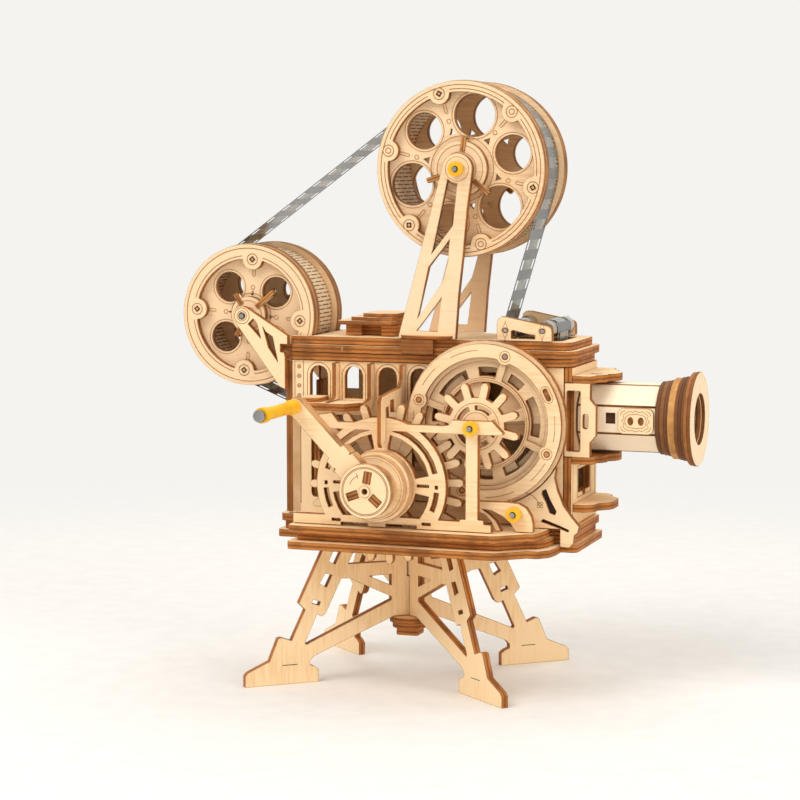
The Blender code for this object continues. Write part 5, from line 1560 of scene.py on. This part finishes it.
@dataclass
class LensWork:
    """The lens: an octagonal tube of separate plates, an ornament and a ringed barrel.

    Each ring has its length, its radius and its stain, from the housing outwards.
    """

    start: float = 75.2
    end: float = 106.7
    flats: float = 27.0
    wall: float = 2.6
    joint: float = 0.9
    bore: float = 10.3
    rings: tuple[tuple[float, float, str], ...] = (
        (1.8, 14.7, "6E4526"), (1.8, 15.0, "8A5A32"), (1.7, 15.3, "74482A"), (2.8, 16.3, "D39A58"),
        (1.4, 16.6, "7C4F2C"), (1.4, 16.9, "6A3F20"), (1.3, 17.2, "8A5A30"), (1.4, 18.7, "A86C38"),
        (1.4, 18.9, "8A5226"),
    )
    ornament_box: tuple[float, float, float, float] = (92.0, 106.2, -5.3, 4.9)
    scrolls: tuple[tuple[Point, ...], ...] = (
        ((0.0, 4.2), (1.2, 3.6), (2.6, 3.9), (4.0, 3.2), (5.2, 2.2), (4.6, 1.2), (5.6, 0.0)),
        ((0.0, 3.0), (1.4, 2.6), (2.8, 2.6), (3.9, 1.7), (4.4, 0.0)),
        ((6.2, 2.2), (5.6, 3.6), (4.2, 4.2)),
    )
    slits: tuple[tuple[Point, Point], ...] = (
        ((79.5, -15.0), (88.0, -9.5)), ((78.0, -12.5), (86.5, -7.0)), ((76.5, 6.0), (84.0, 6.0)),
        ((76.5, 12.0), (82.0, 12.0)), ((80.0, -2.0), (87.0, -2.0)),
    )

    def facets(self, height: float) -> None:
        """Cut the eight plates round the tube, a joint's width apart, and line them.

        Args:
            height: Height of the lens axis in millimetres.
        """
        reach = self.flats / 2 - self.wall / 2
        half = self.flats * math.tan(math.pi / 8) / 2 - self.joint / 2
        outline = [(self.start, -half), (self.end, -half), (self.end, half), (self.start, half)]
        peephole = [(86.6, -1.6), (90.6, -1.6), (90.6, 2.8), (86.6, 2.8)]
        for k in range(8):
            turn = math.radians(45 * k)
            normal = (0.0, -math.sin(turn), math.cos(turn))
            wood = Plywood(f"tube facet {k}", normal, round(normal[2] * height + reach, 2), self.wall * 1.05,
                           face="FAE6C6", shade="F3D9B4", skin="A06A38", core="6E3F1C")
            loops = [(outline, True)]
            if k == 2:
                loops.append((peephole, True))
            drawn = add_curve(f"tube_facet_{k}", loops, Plane.FLOOR, Vector((0, 0, reach)))
            obj = fill_sheet(drawn, self.wall)
            obj.rotation_euler = (turn, 0.0, 0.0)
            obj.location = (0.0, 0.0, height * MM)
            settle(obj)
            dress(obj, wood)
            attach(obj, "frame")
        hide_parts("lens_tube")
        inside = self.end - 0.5
        lining = [(self.bore, self.start), (12.4, self.start), (12.4, inside), (self.bore, inside)]
        # The tube's dark lining is painted shade inside the tube.
        turned("tube_lining", lining, height, "frame", SHADED_LINING, 32)

    def ornament(self, height: float) -> None:
        """Set the small engraved plate on the near side.

        Args:
            height: Height of the lens axis in millimetres.
        """
        face = -self.flats / 2
        x0, x1 = self.ornament_box[:2]
        z0, z1 = height + self.ornament_box[2], height + self.ornament_box[3]
        outer = [*arc(2.2, 180, 270, 5, (x0 + 2.2, z0 + 2.2)), *arc(2.2, 270, 360, 5, (x1 - 2.2, z0 + 2.2)),
                 *arc(2.2, 0, 90, 5, (x1 - 2.2, z1 - 2.2)), *arc(2.2, 90, 180, 5, (x0 + 2.2, z1 - 2.2))]
        cx, cz = (x0 + x1) / 2, (z0 + z1) / 2
        turns = [2 * math.pi * i / 20 for i in range(20)]
        eyes = [[(x + 1.15 * math.cos(t), cz + 1.6 * math.sin(t)) for t in turns]
                for x in (cx - 2.1, cx + 2.1)]
        wood = Plywood("ornament plywood", Grain.ACROSS_Y.value, face - 0.3, 1.8)
        plate("tube_ornament", outer, eyes, Plane.FRONT, Vector((0, face - 0.45, 0)), 1.3, "frame", wood)
        for k, eye in enumerate(eyes):
            plate(f"tube_eye_{k}", eye, [], Plane.FRONT, Vector((0, face - 0.2, 0)), 0.5, "frame", TAB)
        lines = [([(cx + sx * u, cz + sz * v) for u, v in scroll], False)
                 for sx in (-1, 1) for sz in (-1, 1) for scroll in self.scrolls]
        engrave("ornament_lines", lines, Plane.FRONT, Vector((0, face - 1.1, 0)), "frame", 0.22)

    def barrel(self, height: float) -> None:
        """Turn the barrel as a stack of rings of different stain.

        Args:
            height: Height of the lens axis in millimetres.
        """
        _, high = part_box("lens_barrel")
        front = high[0] / MM
        start = front - sum(length for length, _, _ in self.rings)
        total = front - start
        profile = [(7.2, 88.0), (9.5, 88.0), (9.5, start)]
        tones = []
        x = start
        for length, radius, tone in self.rings:
            profile += [(radius - 0.18, x + 0.02), (radius, x + 0.2), (radius, x + length - 0.2),
                        (radius - 0.18, x + length - 0.02)]
            tones.append(((x - start) / total, tone))
            x += length
        profile += [(10.4, front - 0.02), (10.2, front - 0.2), (10.2, front - 1.5), (9.9, front - 1.6),
                    (9.9, front - 3.2), (10.2, front - 3.3), (10.2, front - 5.0), (7.2, front - 5.0)]
        stack = RingStack("stained ring stack", round(start, 2), round(total, 2), tuple(tones))
        piece = turned("barrel_rings", profile, height, "lens", stack, 96)
        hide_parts("lens_barrel")
        lines = []
        for angle in (90, 210, 330):
            a = math.radians(angle)
            u, v = math.cos(a), math.sin(a)
            lines.append(([(10.5 * u - 1.3 * v, height + 10.5 * v + 1.3 * u), (12.4 * u, height + 12.4 * v),
                           (10.5 * u + 1.3 * v, height + 10.5 * v - 1.3 * u)], False))
        lines.append((circle(17.6, (0, height), 72), True))
        engrave("barrel_face_lines", lines, Plane.SIDE, Vector((front - 0.1, 0, 0)), "lens", 0.2, FAINT)

    def build(self) -> None:
        """Build the tube, its ornament and the barrel."""
        height = middle_of("lens_tube", 2)
        self.facets(height)
        self.ornament(height)
        self.barrel(height)
        engrave("bracket_slits", [(list(slit), False) for slit in self.slits], Plane.FLOOR,
                Vector((0, 0, height + 17.5)), "frame", 0.3)


@dataclass
class StandTrim:
    """Kerf lines across the feet."""

    angle: float = 40.5
    reach: tuple[float, float] = (50.5, 57.0)
    height: float = 8.0
    half_line: float = 0.15

    def build(self) -> None:
        """Engrave a short line on both faces of each foot."""
        lines = [([(side * u, self.height) for u in self.reach], False) for side in (-1, 1)]
        for sign, name in ((1, "a"), (-1, "b")):
            turn = math.radians(self.angle * sign)
            for face, where in ((-1, "near"), (1, "far")):
                obj = add_curve(f"foot_lines_{name}_{where}", lines, Plane.FRONT,
                                Vector((0, face * PLY / 2, 0)))
                obj.data.bevel_depth = self.half_line * MM
                obj.data.bevel_resolution = 0
                obj = to_mesh(obj)
                obj.rotation_euler = (0.0, 0.0, turn)
                settle(obj)
                dress(obj, CHAR_AND_SHADE)
                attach(obj, "frame")
        LOG.info("feet engraved")


@dataclass
class Studio:
    """Pale floor, soft lamps and the photograph's camera."""

    heading: float = 19.12
    tilt: float = 6.02
    place: tuple[float, float, float] = (309.69, -906.46, 216.29)
    focal: float = 104.4
    sensor: float = 36.0
    backdrop: str = "F4F3F0"
    sky: tuple[float, float, float, float] = (1.0, 0.98, 0.95, 1.0)
    sky_strength: float = 0.62
    floor_size: float = 8.0
    aim: tuple[float, float, float] = (0.0, 0.0, 0.12)
    lamps: list[tuple[str, tuple[float, float, float], float, float]] = field(default_factory=lambda: [
        ("key", (-0.7, -1.0, 1.5), 1.1, 18.0),
        ("fill", (1.4, -0.7, 0.9), 1.2, 9.5),
        ("top", (0.2, 0.5, 1.9), 1.4, 11.0),
    ])

    def build_camera(self) -> None:
        """Stand the camera where the photograph was taken."""
        psi = math.radians(self.heading)
        eps = math.radians(self.tilt)
        back = Vector((math.sin(psi) * math.cos(eps), -math.cos(psi) * math.cos(eps), math.sin(eps)))
        right = Vector((math.cos(psi), math.sin(psi), 0.0))
        up = back.cross(right)
        matrix = Matrix((right, up, back)).transposed().to_4x4()
        matrix.translation = Vector(self.place) * MM
        camera = bpy.data.cameras.new("camera")
        camera.lens = self.focal
        camera.sensor_width = self.sensor
        holder = add_object("camera", camera)
        holder.matrix_world = matrix
        bpy.context.scene.camera = holder

    def build_lamps(self) -> None:
        """Hang the soft lamps."""
        for name, place, size, power in self.lamps:
            lamp = bpy.data.lights.new(name, "AREA")
            lamp.shape = "DISK"
            lamp.size = size
            lamp.energy = power
            holder = add_object(name, lamp)
            holder.location = place
            toward = Vector(self.aim) - Vector(place)
            holder.rotation_euler = toward.to_track_quat("-Z", "Y").to_euler()

    def build_world(self) -> None:
        """Light the world softly, with the backdrop's tone where it is seen."""
        world = bpy.data.worlds.new("studio")
        bpy.context.scene.world = world
        world.use_nodes = True
        tree = world.node_tree
        tree.nodes.clear()
        rays = add_node(tree, "ShaderNodeLightPath")
        soft = add_node(tree, "ShaderNodeBackground",
                        values={"Color": self.sky, "Strength": self.sky_strength})
        seen = add_node(tree, "ShaderNodeBackground",
                        values={"Color": linear(self.backdrop), "Strength": 1.0})
        either = add_node(tree, "ShaderNodeMath", {0: rays.outputs["Is Camera Ray"],
                                                   1: rays.outputs["Is Glossy Ray"]}, operation="MAXIMUM")
        clear = add_node(tree, "ShaderNodeMath", {0: either.outputs[0],
                                                  1: rays.outputs["Is Transmission Ray"]},
                         operation="MAXIMUM")
        mixed = add_node(tree, "ShaderNodeMixShader", {0: clear.outputs[0], 1: soft.outputs[0],
                                                       2: seen.outputs[0]})
        add_node(tree, "ShaderNodeOutputWorld", {"Surface": mixed.outputs[0]})

    def table(self) -> bpy.types.Material:
        """Make the matt table, which takes on the backdrop's tone with distance.

        Returns:
            The table's material.
        """
        material, tree, shader = new_material("matt pale table")
        place = add_node(tree, "ShaderNodeTexCoord")
        weave = add_node(tree, "ShaderNodeTexNoise", {"Vector": place.outputs["Object"]}, {"Scale": 90.0})
        tone = ramp(tree, weave.outputs["Fac"], [(0.3, "E4E1DC"), (0.7, "E9E6E1")])
        tree.links.new(tone.outputs["Color"], shader.inputs["Base Color"])
        shader.inputs["Roughness"].default_value = 0.85
        away = add_node(tree, "ShaderNodeVectorMath", {0: place.outputs["Object"]}, operation="LENGTH")
        fade = add_node(tree, "ShaderNodeMapRange", {"Value": away.outputs["Value"]},
                        {"From Min": 0.22, "From Max": 0.75}, interpolation_type="SMOOTHSTEP")
        rays = add_node(tree, "ShaderNodeLightPath")
        much = add_node(tree, "ShaderNodeMath", {0: fade.outputs[0], 1: rays.outputs["Is Camera Ray"]},
                        operation="MULTIPLY")
        far = add_node(tree, "ShaderNodeEmission", values={"Color": linear(self.backdrop), "Strength": 1.0})
        mixed = add_node(tree, "ShaderNodeMixShader", {0: much.outputs[0], 1: shader.outputs[0],
                                                       2: far.outputs[0]})
        tree.links.new(mixed.outputs[0], tree.nodes["Material Output"].inputs["Surface"])
        return material

    def build_floor(self) -> None:
        """Lay the pale floor."""
        deselect()
        bpy.ops.mesh.primitive_plane_add(size=self.floor_size, location=(0.0, 0.0, 0.0))
        floor = bpy.context.active_object
        floor.name = "floor"
        floor.data.materials.append(self.table())

    def build(self) -> None:
        """Set up the whole studio."""
        self.build_camera()
        self.build_lamps()
        self.build_world()
        self.build_floor()
        bpy.context.scene.view_settings.view_transform = "Standard"
        LOG.info("studio ready")


def main() -> None:
    """Dress the projector and set up the studio."""
    logging.basicConfig(level=logging.INFO, format="%(message)s")
    SheetWork().dress()
    RoundWork().dress()
    for reel in (Reel("upper_reel", "feed_reel", 35.4, UPPER_PLAN),
                 Reel("take_up", "take_up_reel", 29.6, TAKE_PLAN)):
        reel.dress()
        reel.build()
    for piece in (FilmBand(), RingFront(), GearLines(), WallTrim(), DeckTrim(), GussetTrim(), HubTrim(),
                  LensWork(), StandTrim(), Studio()):
        piece.build()


if __name__ == "__main__":
    main()
